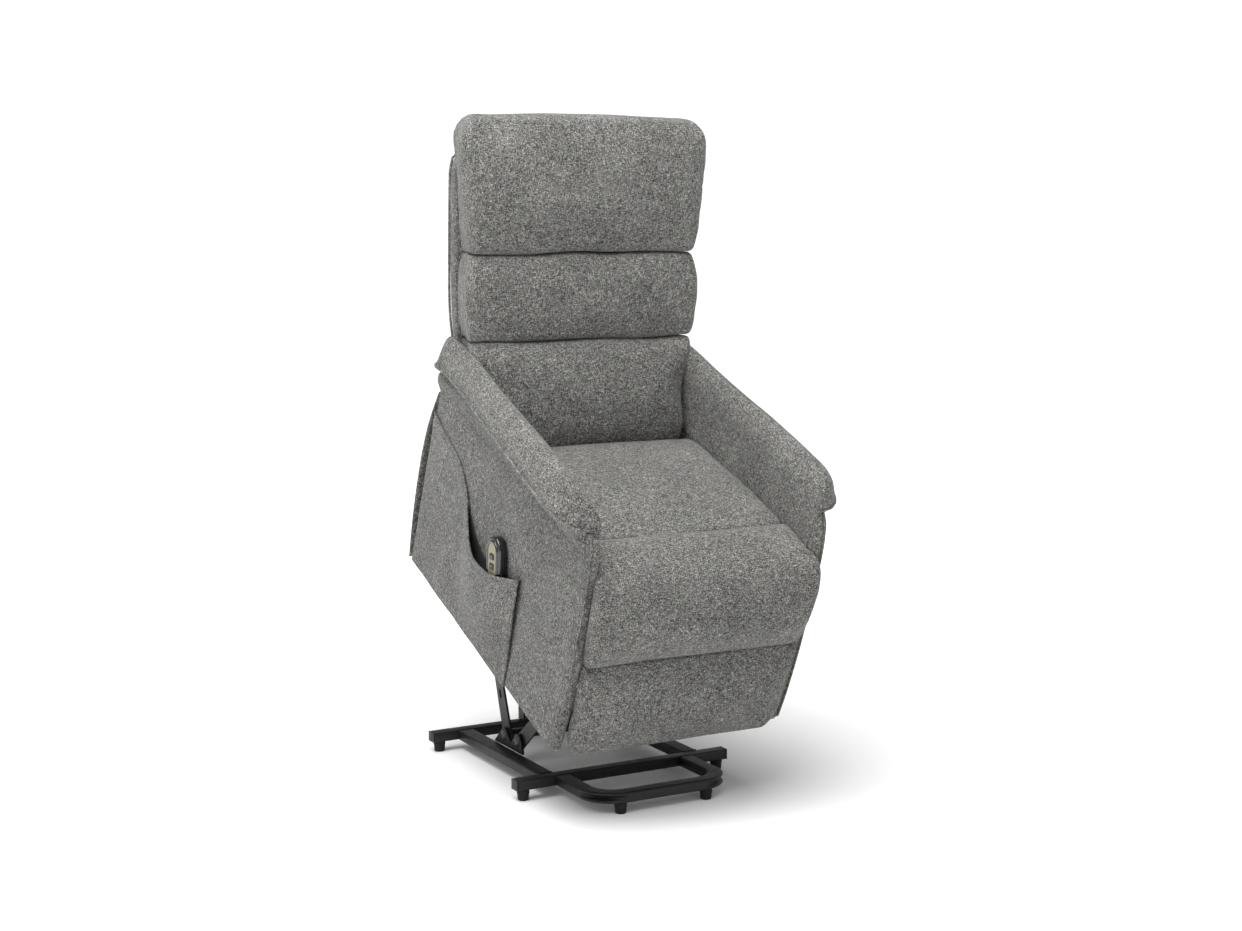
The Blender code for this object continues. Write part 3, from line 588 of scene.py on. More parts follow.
def make_back():
    head = back_cushion(
        "headrest", "headrest_cushion", (SEAM_HIGH, BACK_TOP),
        [(0.357, 0.278), (0.42, 0.286), (0.50, 0.291), (0.60, 0.297), (0.648, 0.292)],
        [(0.357, 0.162), (0.42, 0.172), (0.50, 0.178), (0.58, 0.174), (0.648, 0.162)],
        [(0.357, 0.034), (0.57, 0.034), (0.61, 0.030), (0.648, 0.040)], (0.015, 0.038), 0.017)
    middle = back_cushion(
        "middle_back", "middle_back_cushion", (SEAM_LOW, SEAM_HIGH),
        [(0.166, 0.276), (0.22, 0.286), (0.30, 0.286), (0.357, 0.278)],
        [(0.166, 0.158), (0.22, 0.166), (0.30, 0.166), (0.357, 0.157)],
        [(0.166, 0.034), (0.357, 0.034)], (0.015, 0.015), 0.016)
    lower = back_cushion(
        "lower_back", "lower_back_cushion", (-0.082, SEAM_LOW),
        [(-0.082, 0.238), (-0.02, 0.243), (0.05, 0.251), (0.09, 0.262), (0.12, 0.272), (0.166, 0.277)],
        [(-0.082, 0.184), (-0.04, 0.202), (0.02, 0.194), (0.09, 0.177), (0.166, 0.157)],
        [(-0.082, 0.034), (0.166, 0.034)], (0.026, 0.015), 0.015)
    for obj, low, high, side_seam in ((head, SEAM_HIGH, BACK_TOP, 0.118), (middle, SEAM_LOW, SEAM_HIGH, 0.112),
                                      (lower, -0.082, SEAM_LOW, None)):
        local = to_back(coordinates(obj))
        x, n, h = local.T
        edges = [(h - low, x)]
        if high < BACK_TOP:
            edges.append((high - h, x))
        half = np.abs(x).max()
        pucker(obj, edges, seed=low * 40 + 2)
        from_side = np.where(n > 0.05, half - np.abs(x), 1.0) + 0.006
        pucker(obj, [(from_side, h)], 0.0042, 0.035, 0.040, low * 7 + 1)
        local = to_back(coordinates(obj))
        for seam in (SEAM_LOW, SEAM_HIGH):
            sway = np.array([noise.noise(Vector((v * 6.5, seam * 30, 0.4))) for v in local[:, 0]])
            local[:, 2] += 0.0050 * sway * np.exp(-((local[:, 2] - seam) / 0.035) ** 2)
        set_coordinates(obj, back_points(local))
        if side_seam:
            local = to_back(coordinates(obj))
            on_side = np.abs(local[:, 0]) > half - 0.045
            distance = np.where(on_side, np.abs(local[:, 1] - side_seam - 0.06 * (half - np.abs(local[:, 0]))), 1.0)
            groove(obj, distance, 0.0022, 0.0032)
        ripple(obj, 0.0022, 7.0, low * 10)
    finished(head, "back", FABRIC_SLOT, "headrest_cushion")
    finished(middle, "back", FABRIC_SLOT, "middle_back_cushion")
    finished(lower, "back", FABRIC_SLOT, "lower_back_cushion")

    # outer shell: a thin upholstered board with a welt round its edge
    rings = []
    outline = smooth_through([(-0.240, 0.012), (0, 0.008), (0.240, 0.012), (0.246, 0.05), (0.252, 0.15), (0.261, 0.25),
                              (0.262, 0.48), (0.259, 0.540), (0.240, 0.566), (0.15, 0.573), (0, 0.574),
                              (-0.15, 0.573), (-0.240, 0.566), (-0.259, 0.540), (-0.262, 0.48), (-0.261, 0.25),
                              (-0.252, 0.15), (-0.246, 0.05)], 140, True)
    centre = np.array([0, 0.30])
    for n, inset in ((0.0335, 0.004), (0.030, 0.001), (0.022, 0.0), (0.012, 0.0), (0.006, 0.001), (0.002, 0.005),
                     (0.0, 0.012), (-0.002, 0.05), (-0.004, 0.12), (-0.005, 0.20)):
        away = outline - centre
        ring = outline - away / np.linalg.norm(away, axis=1)[:, None] * inset
        rings.append([(x, n, h) for x, h in ring])
    shell = loft("outer_back_shell", back_points(np.array(rings)), BACK_FABRIC)
    refine(shell)
    ripple(shell, 0.0012, 9.0, 4.0)
    finished(shell, "back", FABRIC_SLOT, "back_shell")
    edge = np.array([(x * 1.004, 0.0045, h) for x, h in outline])
    welt("outer_back_welt", back_points(edge), 0.0028, BACK_FABRIC, "back", True)


# ---- seat and footrest -------------------------------------------------------------------------
def cross_loft(name, section, half_width, edge_radius, centre, squeeze=1.0, samples=120):
    """A closed (f, u) section carried across the chair; it shrinks towards centre at both ends."""
    section = smooth_through(section, samples, True)
    spots = np.concatenate([[0, 0.002, 0.006, 0.012, 0.020], np.linspace(0.035, half_width, 8)])
    xs = np.concatenate([-half_width + spots, (half_width - spots[:-1])[::-1]])
    rings = []
    for x in xs:
        fall = float(round_over(half_width - abs(x), edge_radius)) * squeeze
        away = np.array(centre) - section
        reach = np.linalg.norm(away, axis=1)[:, None]
        ring = section + away / np.maximum(reach, 1e-6) * np.minimum(fall, reach * 0.7)
        rings.append([(x, f, u) for f, u in ring])
    return loft(name, chair_points(np.array(rings)))


def make_seat():
    seat = cross_loft("seat", [(0.222, 0.300), (0.224, 0.392), (0.240, 0.416), (0.32, 0.432), (0.45, 0.438),
                               (0.57, 0.435), (0.636, 0.430), (0.6470, 0.425), (0.648, 0.38), (0.644, 0.275),
                               (0.60, 0.262), (0.40, 0.256), (0.26, 0.256)], 0.2465, 0.014, (0.44, 0.34))
    even_mesh(seat, 0.0068)
    local = to_chair(coordinates(seat))
    puff(seat, 0.020, (local[:, 2] < 0.36) | (local[:, 1] > 0.6455) | (local[:, 1] < 0.228))
    refine(seat)
    local = to_chair(coordinates(seat))
    x, f, u = local.T
    top = np.where(u > 0.37, 0.0, 1.0)
    pucker(seat, [(0.648 - f + top, x), (0.2455 - np.abs(x) + top, f)], 0.0016, 0.06, 0.034, 7.0)
    ripple(seat, 0.003, 6.0, 2.0)
    dress(seat, BODY_FABRIC)
    finished(seat, "chair", FABRIC_SLOT, "seat_cushion")

    roll = cross_loft("seat_front_roll", [(0.6485, 0.372), (0.6484, 0.424), (0.655, 0.4295), (0.69, 0.431),
                                          (0.74, 0.427), (0.778, 0.412), (0.800, 0.384), (0.811, 0.34), (0.810, 0.29),
                                          (0.800, 0.245), (0.786, 0.217), (0.770, 0.2125), (0.7585, 0.222),
                                          (0.7580, 0.30), (0.7575, 0.345), (0.742, 0.366), (0.70, 0.372)],
                      0.2485, 0.007, (0.745, 0.375), 1.0, 160)
    even_mesh(roll, 0.0062)
    local = to_chair(coordinates(roll))
    x, f, u = local.T
    puff(roll, 0.018, (f < 0.6505) | (u < 0.219) | ((f < 0.760) & (u < 0.374)))
    refine(roll)
    local = to_chair(coordinates(roll))
    ahead = np.clip((local[:, 1] - 0.735) / 0.045, 0, 1)
    above = np.clip((local[:, 2] - 0.215) / 0.185, 0, 1)
    local[:, 0] *= 1 + 0.056 * ahead ** 2 * (3 - 2 * ahead) * above
    set_coordinates(roll, chair_points(local))
    x, f, u = local.T
    outer = np.where((u > 0.385) | (f > 0.775), 0.0, 1.0)
    pucker(roll, [(f - 0.648 + outer, x), (u - 0.2125 + outer, x), (0.247 - np.abs(x) + outer, f - u)],
           0.0017, 0.06, 0.034, 12.0)
    ripple(roll, 0.0028, 6.0, 5.0)
    dress(roll, BODY_FABRIC)
    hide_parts("footrest_upper_pad")
    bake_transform(roll)

    panel = cross_loft("footrest_panel", [(0.7585, 0.214), (0.771, 0.2095), (0.786, 0.204), (0.795, 0.180),
                                          (0.797, 0.120), (0.792, 0.06), (0.784, 0.012), (0.776, -0.006),
                                          (0.764, -0.010), (0.7575, -0.002), (0.7575, 0.10)],
                       0.2470, 0.016, (0.768, 0.10), 1.0, 110)
    even_mesh(panel, 0.0060)
    local = to_chair(coordinates(panel))
    x, f, u = local.T
    corner = np.clip((0.055 - u) / 0.055, 0, 1) ** 2
    moved = local.copy()
    moved[:, 0] *= 1 - 0.045 * corner
    set_coordinates(panel, chair_points(moved))
    puff(panel, 0.012, (f < 0.760) | (u > 0.207) | (u < -0.004))
    refine(panel)
    local = to_chair(coordinates(panel))
    x, f, u = local.T
    outer = np.where(f > 0.77, 0.0, 1.0)
    pucker(panel, [(0.2095 - u + outer, x), (0.247 - np.abs(x) + outer, u)], 0.0016, 0.05, 0.034, 21.0)
    ripple(panel, 0.0022, 7.0, 8.0)
    dress(panel, BODY_FABRIC)
    finished(panel, "footrest", FABRIC_SLOT, "footrest_lower_pad")


# ---- arms --------------------------------------------------------------------------------------
ARM_EDGE = [(-0.016, 0.278), (-0.004, 0.291), (0.05, 0.2955), (0.16, 0.302), (0.32, 0.314), (0.48, 0.324),
            (0.60, 0.3295), (0.662, 0.3290), (0.694, 0.3215), (0.715, 0.3060), (0.728, 0.2850), (0.735, 0.2545)]
ARM_EDGE_UP = [(-0.016, 0.500), (0.05, 0.506), (0.30, 0.513), (0.60, 0.512), (0.68, 0.509), (0.735, 0.503)]
ARM_CROWN = [(-0.016, 0.545), (-0.004, 0.566), (0.03, 0.574), (0.30, 0.5775), (0.62, 0.574), (0.675, 0.570),
             (0.702, 0.562), (0.720, 0.548), (0.731, 0.528), (0.735, 0.507)]


def arm_ring(f, sign):
    """Section of an arm: inner face, crown, outer slope, piped edge and the flare below it."""
    edge = float(smooth_value(f, ARM_EDGE))
    edge_up = float(smooth_value(f, ARM_EDGE_UP))
    crown = float(smooth_value(f, ARM_CROWN))
    inner = 0.2490
    spread = edge - inner
    rise = crown - edge_up
    below = min(1.0, spread / 0.03)
    points = [(inner + 0.004, 0.404), (inner, 0.412), (inner, 0.440), (inner + 0.0005, 0.475),
              (inner + 0.01 * spread, edge_up - 0.005), (inner + 0.05 * spread, edge_up + 0.40 * rise),
              (inner + 0.20 * spread, edge_up + 0.80 * rise), (inner + 0.42 * spread, edge_up + 0.985 * rise),
              (inner + 0.62 * spread, edge_up + 0.93 * rise), (inner + 0.80 * spread, edge_up + 0.66 * rise),
              (inner + 0.93 * spread, edge_up + 0.28 * rise), (edge, edge_up + 0.001),
              (edge - 0.005 * below, edge_up - 0.005), (edge - 0.017 * below, edge_up - 0.014),
              (inner + 0.027 + (spread - 0.027) * 0.34 * below, edge_up - 0.030),
              (inner + 0.027 + (spread - 0.027) * 0.12 * below, edge_up - 0.050), (inner + 0.0265, 0.448),
              (inner + 0.018, 0.430), (inner + 0.010, 0.408)]
    curve = smooth_through(points, 84, True)
    return [(sign * x, f, u) for x, u in curve]


def make_arm(side, sign):
    stations = np.concatenate([[-0.016, -0.0155, -0.014, -0.011, -0.006], np.linspace(0.002, 0.640, 46),
                               np.linspace(0.650, 0.722, 14), [0.7262, 0.7295, 0.7320, 0.7338, 0.7346, 0.735]])
    arm = loft(f"arm_{side}", chair_points(np.array([arm_ring(f, sign) for f in stations])), BODY_FABRIC)
    local = to_chair(coordinates(arm))
    x, f, u = np.abs(local[:, 0]), local[:, 1], local[:, 2]
    edge = smooth_value(f, ARM_EDGE)
    edge_up = smooth_value(f, ARM_EDGE_UP)
    near = np.hypot(edge - x, u - edge_up)
    above = u > edge_up - 0.002
    seed = 1.0 if sign > 0 else 6.0
    swell = np.where(above, 1.0, 0.4)
    waves = np.array([noise.noise(Vector((a * 30, seed, b * 12))) for a, b in zip(f, u)])
    push(arm, 0.0012 * np.exp(-(near / 0.03) ** 2) * waves * swell)
    ripple(arm, 0.0016, 9.0, seed)
    refine(arm)
    finished(arm, "chair", FABRIC_SLOT, f"arm_pad_{side}")
    fs = np.concatenate([np.linspace(-0.010, 0.64, 90), np.linspace(0.648, 0.7346, 36)])
    line = [(sign * (float(smooth_value(v, ARM_EDGE)) + 0.0008), v, float(smooth_value(v, ARM_EDGE_UP))) for v in fs]
    welt(f"arm_welt_{side}", chair_points(np.array(line)), 0.0031, BODY_FABRIC, "chair")
    seam = []
    for v in np.linspace(0.0, 0.722, 160):
        ring = np.array(arm_ring(v, sign))
        edge_here, up_here = float(smooth_value(v, ARM_EDGE)), float(smooth_value(v, ARM_EDGE_UP))
        reach = np.hypot(np.abs(ring[:, 0]) - edge_here, ring[:, 2] - up_here)
        ok = ring[:, 2] > up_here + 0.002
        target = np.abs(reach - 0.0105) + np.where(ok & (np.abs(ring[:, 0]) > 0.262), 0, 1)
        best = ring[int(np.argmin(target))]
        seam.append((best[0] + sign * 0.0004, best[1], best[2] + 0.0006))
    seam = smooth_through(np.array(seam)[::4], 150)
    stitches(f"arm_stitch_{side}", chair_points(seam), THREAD, "chair")


# ---- side panels -------------------------------------------------------------------------------
PANEL_FRONT = [(-0.004, 0.756), (0.03, 0.760), (0.18, 0.768), (0.30, 0.766), (0.38, 0.763), (0.455, 0.7535),
               (0.480, 0.746), (0.500, 0.731)]


def panel_front(u):
    """How far forward the panel's front edge is at height u."""
    return smooth_value(u, PANEL_FRONT)


SEAM_INSET = 0.0165  # from the panel's front edge to the seam beside its welt
HEM_DEPTH = 0.0125   # from the pocket's edge to its row of stitches
POCKET_TOP = smooth_through([(0.003, 0.384), (0.045, 0.372), (0.091, 0.361), (0.152, 0.347), (0.192, 0.324),
                             (0.228, 0.292), (0.249, 0.266), (0.280, 0.241), (0.318, 0.223), (0.358, 0.2155),
                             (0.422, 0.224), (0.472, 0.242), (0.524, 0.2655)], 200)
FRONT_ARC = smooth_through([(0.536, 0.256), (0.546, 0.300), (0.566, 0.333), (0.602, 0.359), (0.645, 0.376),
                            (0.70, 0.384), (0.757, 0.389)], 80)


def make_side_panel(side, sign):
    """Padded panel; its outer skin has a sunk seam over the front and one along the welt."""
    rows, columns = 150, 240
    grid_s, grid_t = np.meshgrid(np.linspace(0, 1, rows), np.linspace(0, 1, columns), indexing="ij")
    rise = np.clip((grid_t * 0.768 - 0.64) / 0.06, 0, 1)
    top = 0.456 + 0.044 * rise * rise * (3 - 2 * rise)
    grid_u = -0.002 + (top + 0.002) * grid_s
    front = panel_front(grid_u)
    grid_f = -0.001 + (front + 0.001) * grid_t
    flat = np.stack([grid_f.ravel(), grid_u.ravel()], axis=-1)
    from_edges = np.minimum.reduce([grid_f.ravel() + 0.001, (front - grid_f).ravel(), grid_u.ravel() + 0.002])
    outer = 0.2762 - round_over(from_edges, 0.009)
    arc_gap = distance_to(flat, FRONT_ARC)
    outer -= 0.0016 * np.exp(-(arc_gap / 0.0026) ** 2)
    outer += 0.0010 * np.exp(-((arc_gap - 0.012) / 0.008) ** 2)
    welt_gap = np.abs((front - grid_f).ravel() - SEAM_INSET)
    outer -= 0.0010 * np.exp(-(welt_gap / 0.0022) ** 2)
    if sign > 0:
        top_gap = distance_to(flat, POCKET_TOP[:120])
        outer -= 0.0004 * np.exp(-(top_gap / 0.0022) ** 2)
    unevenness = [noise.noise(Vector((f * 6, u * 6, sign * 3))) for f, u in flat]
    fine = [noise.noise(Vector((f * 20, u * 14, sign * 9))) for f, u in flat]
    outer += (0.0014 * np.array(unevenness) + 0.0005 * np.array(fine)) * np.clip(from_edges / 0.02, 0, 1)
    outer = np.minimum(outer, 0.2768)
    inner = 0.2493 + 0.0016 * np.clip((flat[:, 1] - 0.38) / 0.03, 0, 1) + round_over(from_edges, 0.006)
    inner = np.minimum(inner, outer - 0.0005)
    panel = two_skins(f"side_upholstery_{side}", np.column_stack([sign * outer, flat]),
                      np.column_stack([sign * inner, flat]), rows, columns, BODY_FABRIC)
    finished(panel, "chair", FABRIC_SLOT, f"side_panel_{side}")

    us = np.linspace(0.006, 0.497, 120)
    edge = np.column_stack([np.full(120, sign * 0.2722), panel_front(us) + 0.0002, us])
    welt(f"front_welt_{side}", chair_points(edge), 0.0027, BODY_FABRIC, "chair")
    seam = np.column_stack([np.full(120, sign * 0.2760), panel_front(us) - SEAM_INSET, us])
    stitches(f"front_stitch_{side}", chair_points(seam), THREAD, "chair")
    arc = np.column_stack([np.full(len(FRONT_ARC), sign * 0.2764), FRONT_ARC[:, 0] + 0.001, FRONT_ARC[:, 1] - 0.0045])
    if sign < 0:
        stitches(f"arc_stitch_{side}", chair_points(arc), THREAD, "chair")


def make_pocket():
    """A cloth layer over the rear of the right-hand panel, open along its curved top."""
    across, down = 230, 110
    top = smooth_through(POCKET_TOP, across)
    bottom_f = np.linspace(0.003, 0.5265, across)
    verts_outer, verts_inner = [], []
    bulge_keys = [(0.0, 0), (0.195, 0), (0.235, 0.003), (0.265, 0.011), (0.30, 0.0205), (0.34, 0.0275), (0.40, 0.0300),
                  (0.455, 0.0275), (0.50, 0.017), (0.5265, 0.0085)]
    for i in range(across):
        for j in range(down):
            t = j / (down - 1)
            f = top[i, 0] + (bottom_f[i] - top[i, 0]) * min(1, t * 2.2)
            u = top[i, 1] + (0.0 - top[i, 1]) * t
            drop = top[i, 1] - u
            fade = float(np.clip(1 - drop / 0.215, 0, 1))
            swell = float(smooth_value(f, bulge_keys)) * (fade ** 0.9) * (3 - 2 * fade) * fade ** 0.4
            x = 0.2768 + 0.0042 + swell
            x -= float(round_over(min(f - 0.003, 0.5275 - f + 0.0005), 0.004))
            x -= float(round_over(u + 0.0015, 0.004))
            x += (0.0011 * math.exp(-((drop - 0.016) / 0.012) ** 2)
                  - 0.0009 * math.exp(-((drop - HEM_DEPTH) / 0.0022) ** 2))
            x += 0.0014 * noise.noise(Vector((f * 9, u * 9, 4.2))) + 0.0007 * noise.noise(Vector((f * 26, u * 18, 1.2)))
            thin = 0.0035 if f > 0.20 else 0.003
            verts_outer.append((-x, f, u))
            verts_inner.append((-max(x - thin, 0.2771), f, u))
    pocket = two_skins("pocket_cloth", verts_outer, verts_inner, across, down, BODY_FABRIC)
    finished(pocket, "chair", FABRIC_SLOT, "side_pocket")
    outer = np.array(verts_outer).reshape(across, down, 3)
    hem = np.array([row[int(np.argmin(np.abs((row[0, 2] - row[:, 2]) - HEM_DEPTH)))] for row in outer])
    hem[:, 0] -= 0.0003
    stitches("pocket_stitch", chair_points(hem[4:-4]), THREAD, "chair")


def make_pocket_mouth_dark_sheet():
    """A dark sheet on the panel inside the pocket's mouth."""
    columns, rows = 60, 24
    edge = POCKET_TOP[(POCKET_TOP[:, 0] > 0.236) & (POCKET_TOP[:, 0] < 0.515)]
    edge = smooth_through(edge, columns)
    outer, inner = [], []
    for f, u in edge:
        for drop in np.linspace(0.003, 0.110, rows):
            outer.append((-0.2786, f, u - drop))
            inner.append((-0.2776, f, u - drop))
    dark_cloth = two_skins("pocket_mouth_dark_sheet", outer, inner, columns, rows, DARK_CLOTH)
    finished(dark_cloth, "chair", "dark_lining")


def make_skirt():
    """The bowed cloth panel behind the lower body, with a bound edge."""
    middle = smooth_through([(-0.012, 0.428), (-0.019, 0.405), (-0.030, 0.370), (-0.042, 0.320), (-0.050, 0.250),
                             (-0.051, 0.180), (-0.047, 0.110), (-0.040, 0.045), (-0.031, -0.012)], 90)
    xs = np.linspace(-0.272, 0.272, 110)
    outer, inner = [], []
    for x in xs:
        for f, u in middle:
            bow = 0.006 * (1 - (x / 0.272) ** 2)
            wave = 0.0018 * noise.noise(Vector((x * 8, u * 8, 2.2)))
            edge = min(0.272 - abs(x), u + 0.012, 0.428 - u)
            fall = float(round_over(edge, 0.003)) * 0.8
            outer.append((x, f - bow - wave + fall, u))
            inner.append((x, f - bow - wave + 0.0055 - fall, u))
    count = len(middle)
    skirt = two_skins("rear_skirt_cloth", outer, inner, len(xs), count, BODY_FABRIC)
    finished(skirt, "chair", FABRIC_SLOT, "rear_skirt")
    rows = np.array(outer).reshape(len(xs), count, 3)
    for name, index in (("right", 4), ("left", len(xs) - 5)):
        line = rows[index].copy()
        line[:, 1] -= 0.0003
        stitches(f"skirt_stitch_{name}", chair_points(line[4:-3]), THREAD, "chair")
    hem = rows[4:-4, count - 5].copy()
    hem[:, 1] -= 0.0003
    stitches("skirt_stitch_hem", chair_points(hem), THREAD, "chair")


# ---- base and linkage --------------------------------------------------------------------------
def rounded_box(name, low, high, radius, material, segments=3):
    shape = bmesh.new()
    size = [b - a for a, b in zip(low, high)]
    middle = [(a + b) / 2 for a, b in zip(low, high)]
    bmesh.ops.create_cube(shape, size=1, matrix=Matrix.Translation(middle) @ Matrix.Diagonal((*size, 1)))
    bmesh.ops.bevel(shape, geom=shape.edges[:], offset=radius, segments=segments, profile=0.5, affect="EDGES")
    mesh = bpy.data.meshes.new(name)
    shape.to_mesh(mesh)
    shape.free()
    mesh.materials.append(material)
    obj = link_object(name, mesh)
    mesh.shade_smooth()
    mesh.set_sharp_from_angle(angle=math.radians(50))
    return obj


def weld_bead(name, start, end, body, radius=0.0022):
    """A slightly lumpy fillet between two welded tubes."""
    start, end = np.array(start, float), np.array(end, float)
    path = np.array([start + (end - start) * t for t in np.linspace(0, 1, 28)])
    bead = tube(name, path, radius, STEEL, 8)
    ripple(bead, 0.0007, 260.0, 3.0)
    return finished(bead, body, "black_steel")


def make_base():
    for place in ("front", "rear"):
        low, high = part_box(f"{place}_cross_bar")
        finished(rounded_box(f"base_bar_{place}", low, high, 0.0028, STEEL), "base", "black_steel",
                 f"{place}_cross_bar")
        for side in ("left", "right"):
            low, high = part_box(f"bar_plug_{place}_{side}")
            plug = rounded_box(f"bar_end_{place}_{side}", low - Vector((0, 0.0002, 0.0002)),
                               high + Vector((0, 0.0002, 0.0002)), 0.0012, PLASTIC)
            finished(plug, "base", "black_plastic", f"bar_plug_{place}_{side}")
    for side in ("left", "right"):
        low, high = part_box(f"side_rail_{side}")
        finished(rounded_box(f"base_rail_{side}", low, high, 0.0028, STEEL), "base", "black_steel",
                 f"side_rail_{side}")
        for end, y in (("front", low.y), ("rear", high.y)):
            weld_bead(f"rail_weld_{side}_{end}", (low.x + 0.002, y, high.z - 0.0004),
                      (high.x - 0.002, y, high.z - 0.0004), "base")
    make_loop()
    for side in ("left", "right"):
        for place in ("front", "rear", "loop"):
            make_foot(f"foot_{place}_{side}")


def make_loop():
    """The bent front tube: its outer face is pinched into two lobes round the bends."""
    low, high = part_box("front_loop")
    width, corner = 0.033, 0.080
    reach_x, front = high.x - width / 2, low.y + width / 2
    radius = corner - width / 2
    path, bend = [], []
    for y in np.linspace(high.y, front + radius, 12)[:-1]:
        path.append((-reach_x, y))
        bend.append(0.0)
    for a in np.linspace(180, 270, 26):
        path.append((-reach_x + radius + radius * math.cos(math.radians(a)),
                     front + radius + radius * math.sin(math.radians(a))))
        bend.append(math.sin(math.radians((a - 180) * 2)))
    for x in np.linspace(-reach_x + radius, reach_x - radius, 16)[1:-1]:
        path.append((x, front))
        bend.append(0.0)
    for a in np.linspace(270, 360, 26):
        path.append((reach_x - radius + radius * math.cos(math.radians(a)),
                     front + radius + radius * math.sin(math.radians(a))))
        bend.append(math.sin(math.radians((a - 270) * 2)))
    for y in np.linspace(front + radius, high.y, 12)[1:]:
        path.append((reach_x, y))
        bend.append(0.0)
    path, bend = np.array(path), np.array(bend)
    fine = smooth_through(np.column_stack([path, bend]), 150)
    path, bend = fine[:, :2], np.clip(fine[:, 2], 0, 1)
    heading = np.gradient(path, axis=0)
    heading /= np.linalg.norm(heading, axis=1)[:, None]
    outward_side = np.column_stack([heading[:, 1], -heading[:, 0]])
    height = high.z - low.z
    middle = (high.z + low.z) / 2
    section = []
    r = 0.0045
    for cx, cz, start in ((1, 1, 0), (-1, 1, 90), (-1, -1, 180), (1, -1, 270)):
        for a in np.linspace(start, start + 90, 6):
            section.append((cx * (width / 2 - r) + r * math.cos(math.radians(a)),
                            cz * (height / 2 - r) + r * math.sin(math.radians(a))))
    section = np.array(section)
    more = [(width / 2, z) for z in np.linspace(-height / 2 + r, height / 2 - r, 11)[1:-1]]
    section = np.vstack([section, more])
    rings = []
    for place, side, squeeze in zip(path, outward_side, bend):
        ring = []
        for a, b in section:
            outer_face = 1.0 if a > width / 2 - r * 0.9 else 0.0
            pinch = 0.0095 * squeeze * outer_face * math.exp(-(b / 0.0046) ** 2)
            inner_face = 1.0 if a < -width / 2 + r * 0.9 else 0.0
            pinch -= 0.0022 * squeeze * inner_face * math.exp(-(b / 0.006) ** 2)
            flare = 0.0026 * squeeze * outer_face * (1 - math.exp(-(b / 0.0046) ** 2))
            across = a - pinch + flare
            ring.append((place[0] + side[0] * across, place[1] + side[1] * across, middle + b))
        rings.append(ring)
    loop = loft("base_front_loop", rings, STEEL)
    loop.data.set_sharp_from_angle(angle=math.radians(60))
    finished(loop, "base", "black_steel", "front_loop")
    for side, sign in (("left", 1), ("right", -1)):
        weld_bead(f"loop_weld_{side}", (sign * (reach_x - width / 2 + 0.002), high.y, high.z - 0.0006),
                  (sign * (reach_x + width / 2 - 0.002), high.y, high.z - 0.0006), "base")


def turned(name, profile, place, material, steps=32):
    """A turned piece about a vertical axis; profile is (radius, height) from the top down."""
    angles = np.linspace(0, 2 * math.pi, steps, endpoint=False)
    rings = [[(place[0] + r * math.cos(a), place[1] + r * math.sin(a), place[2] + z) for a in angles]
             for r, z in profile]
    obj = loft(name, rings, material)
    obj.data.set_sharp_from_angle(angle=math.radians(40))
    return obj


def make_foot(node):
    low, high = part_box(node)
    r = (high.x - low.x) / 2
    top = high.z
    profile = [(r * 0.96, top), (r, top - 0.0006), (r, top * 0.66), (r * 0.985, top * 0.62), (r * 0.93, top * 0.60),
               (r * 0.925, top * 0.42), (r * 0.905, top * 0.24), (r * 0.885, top * 0.14), (r * 0.82, top * 0.05),
               (r * 0.72, top * 0.005), (r * 0.66, 0.0), (r * 0.30, 0.0)]
    place = ((low.x + high.x) / 2, (low.y + high.y) / 2, 0)
    finished(turned(f"{node}_rubber", profile, place, RUBBER), "base", "foot_rubber", node)


def disc_stack(name, centre, direction, profile, material, sides=24, body="base", slot="zinc_steel", nodes=()):
    """A piece turned about an axis; profile is (radius, distance along direction)."""
    centre, direction = Vector(centre), Vector(direction).normalized()
    side = direction.orthogonal().normalized()
    other = direction.cross(side)
    rings = []
    for radius, along in profile:
        rings.append([centre + direction * along + side * (radius * math.cos(a)) + other * (radius * math.sin(a))
                      for a in np.linspace(0, 2 * math.pi, sides, endpoint=False)])
    obj = loft(name, rings, material)
    obj.data.set_sharp_from_angle(angle=math.radians(35))
    return finished(obj, body, slot, *nodes)


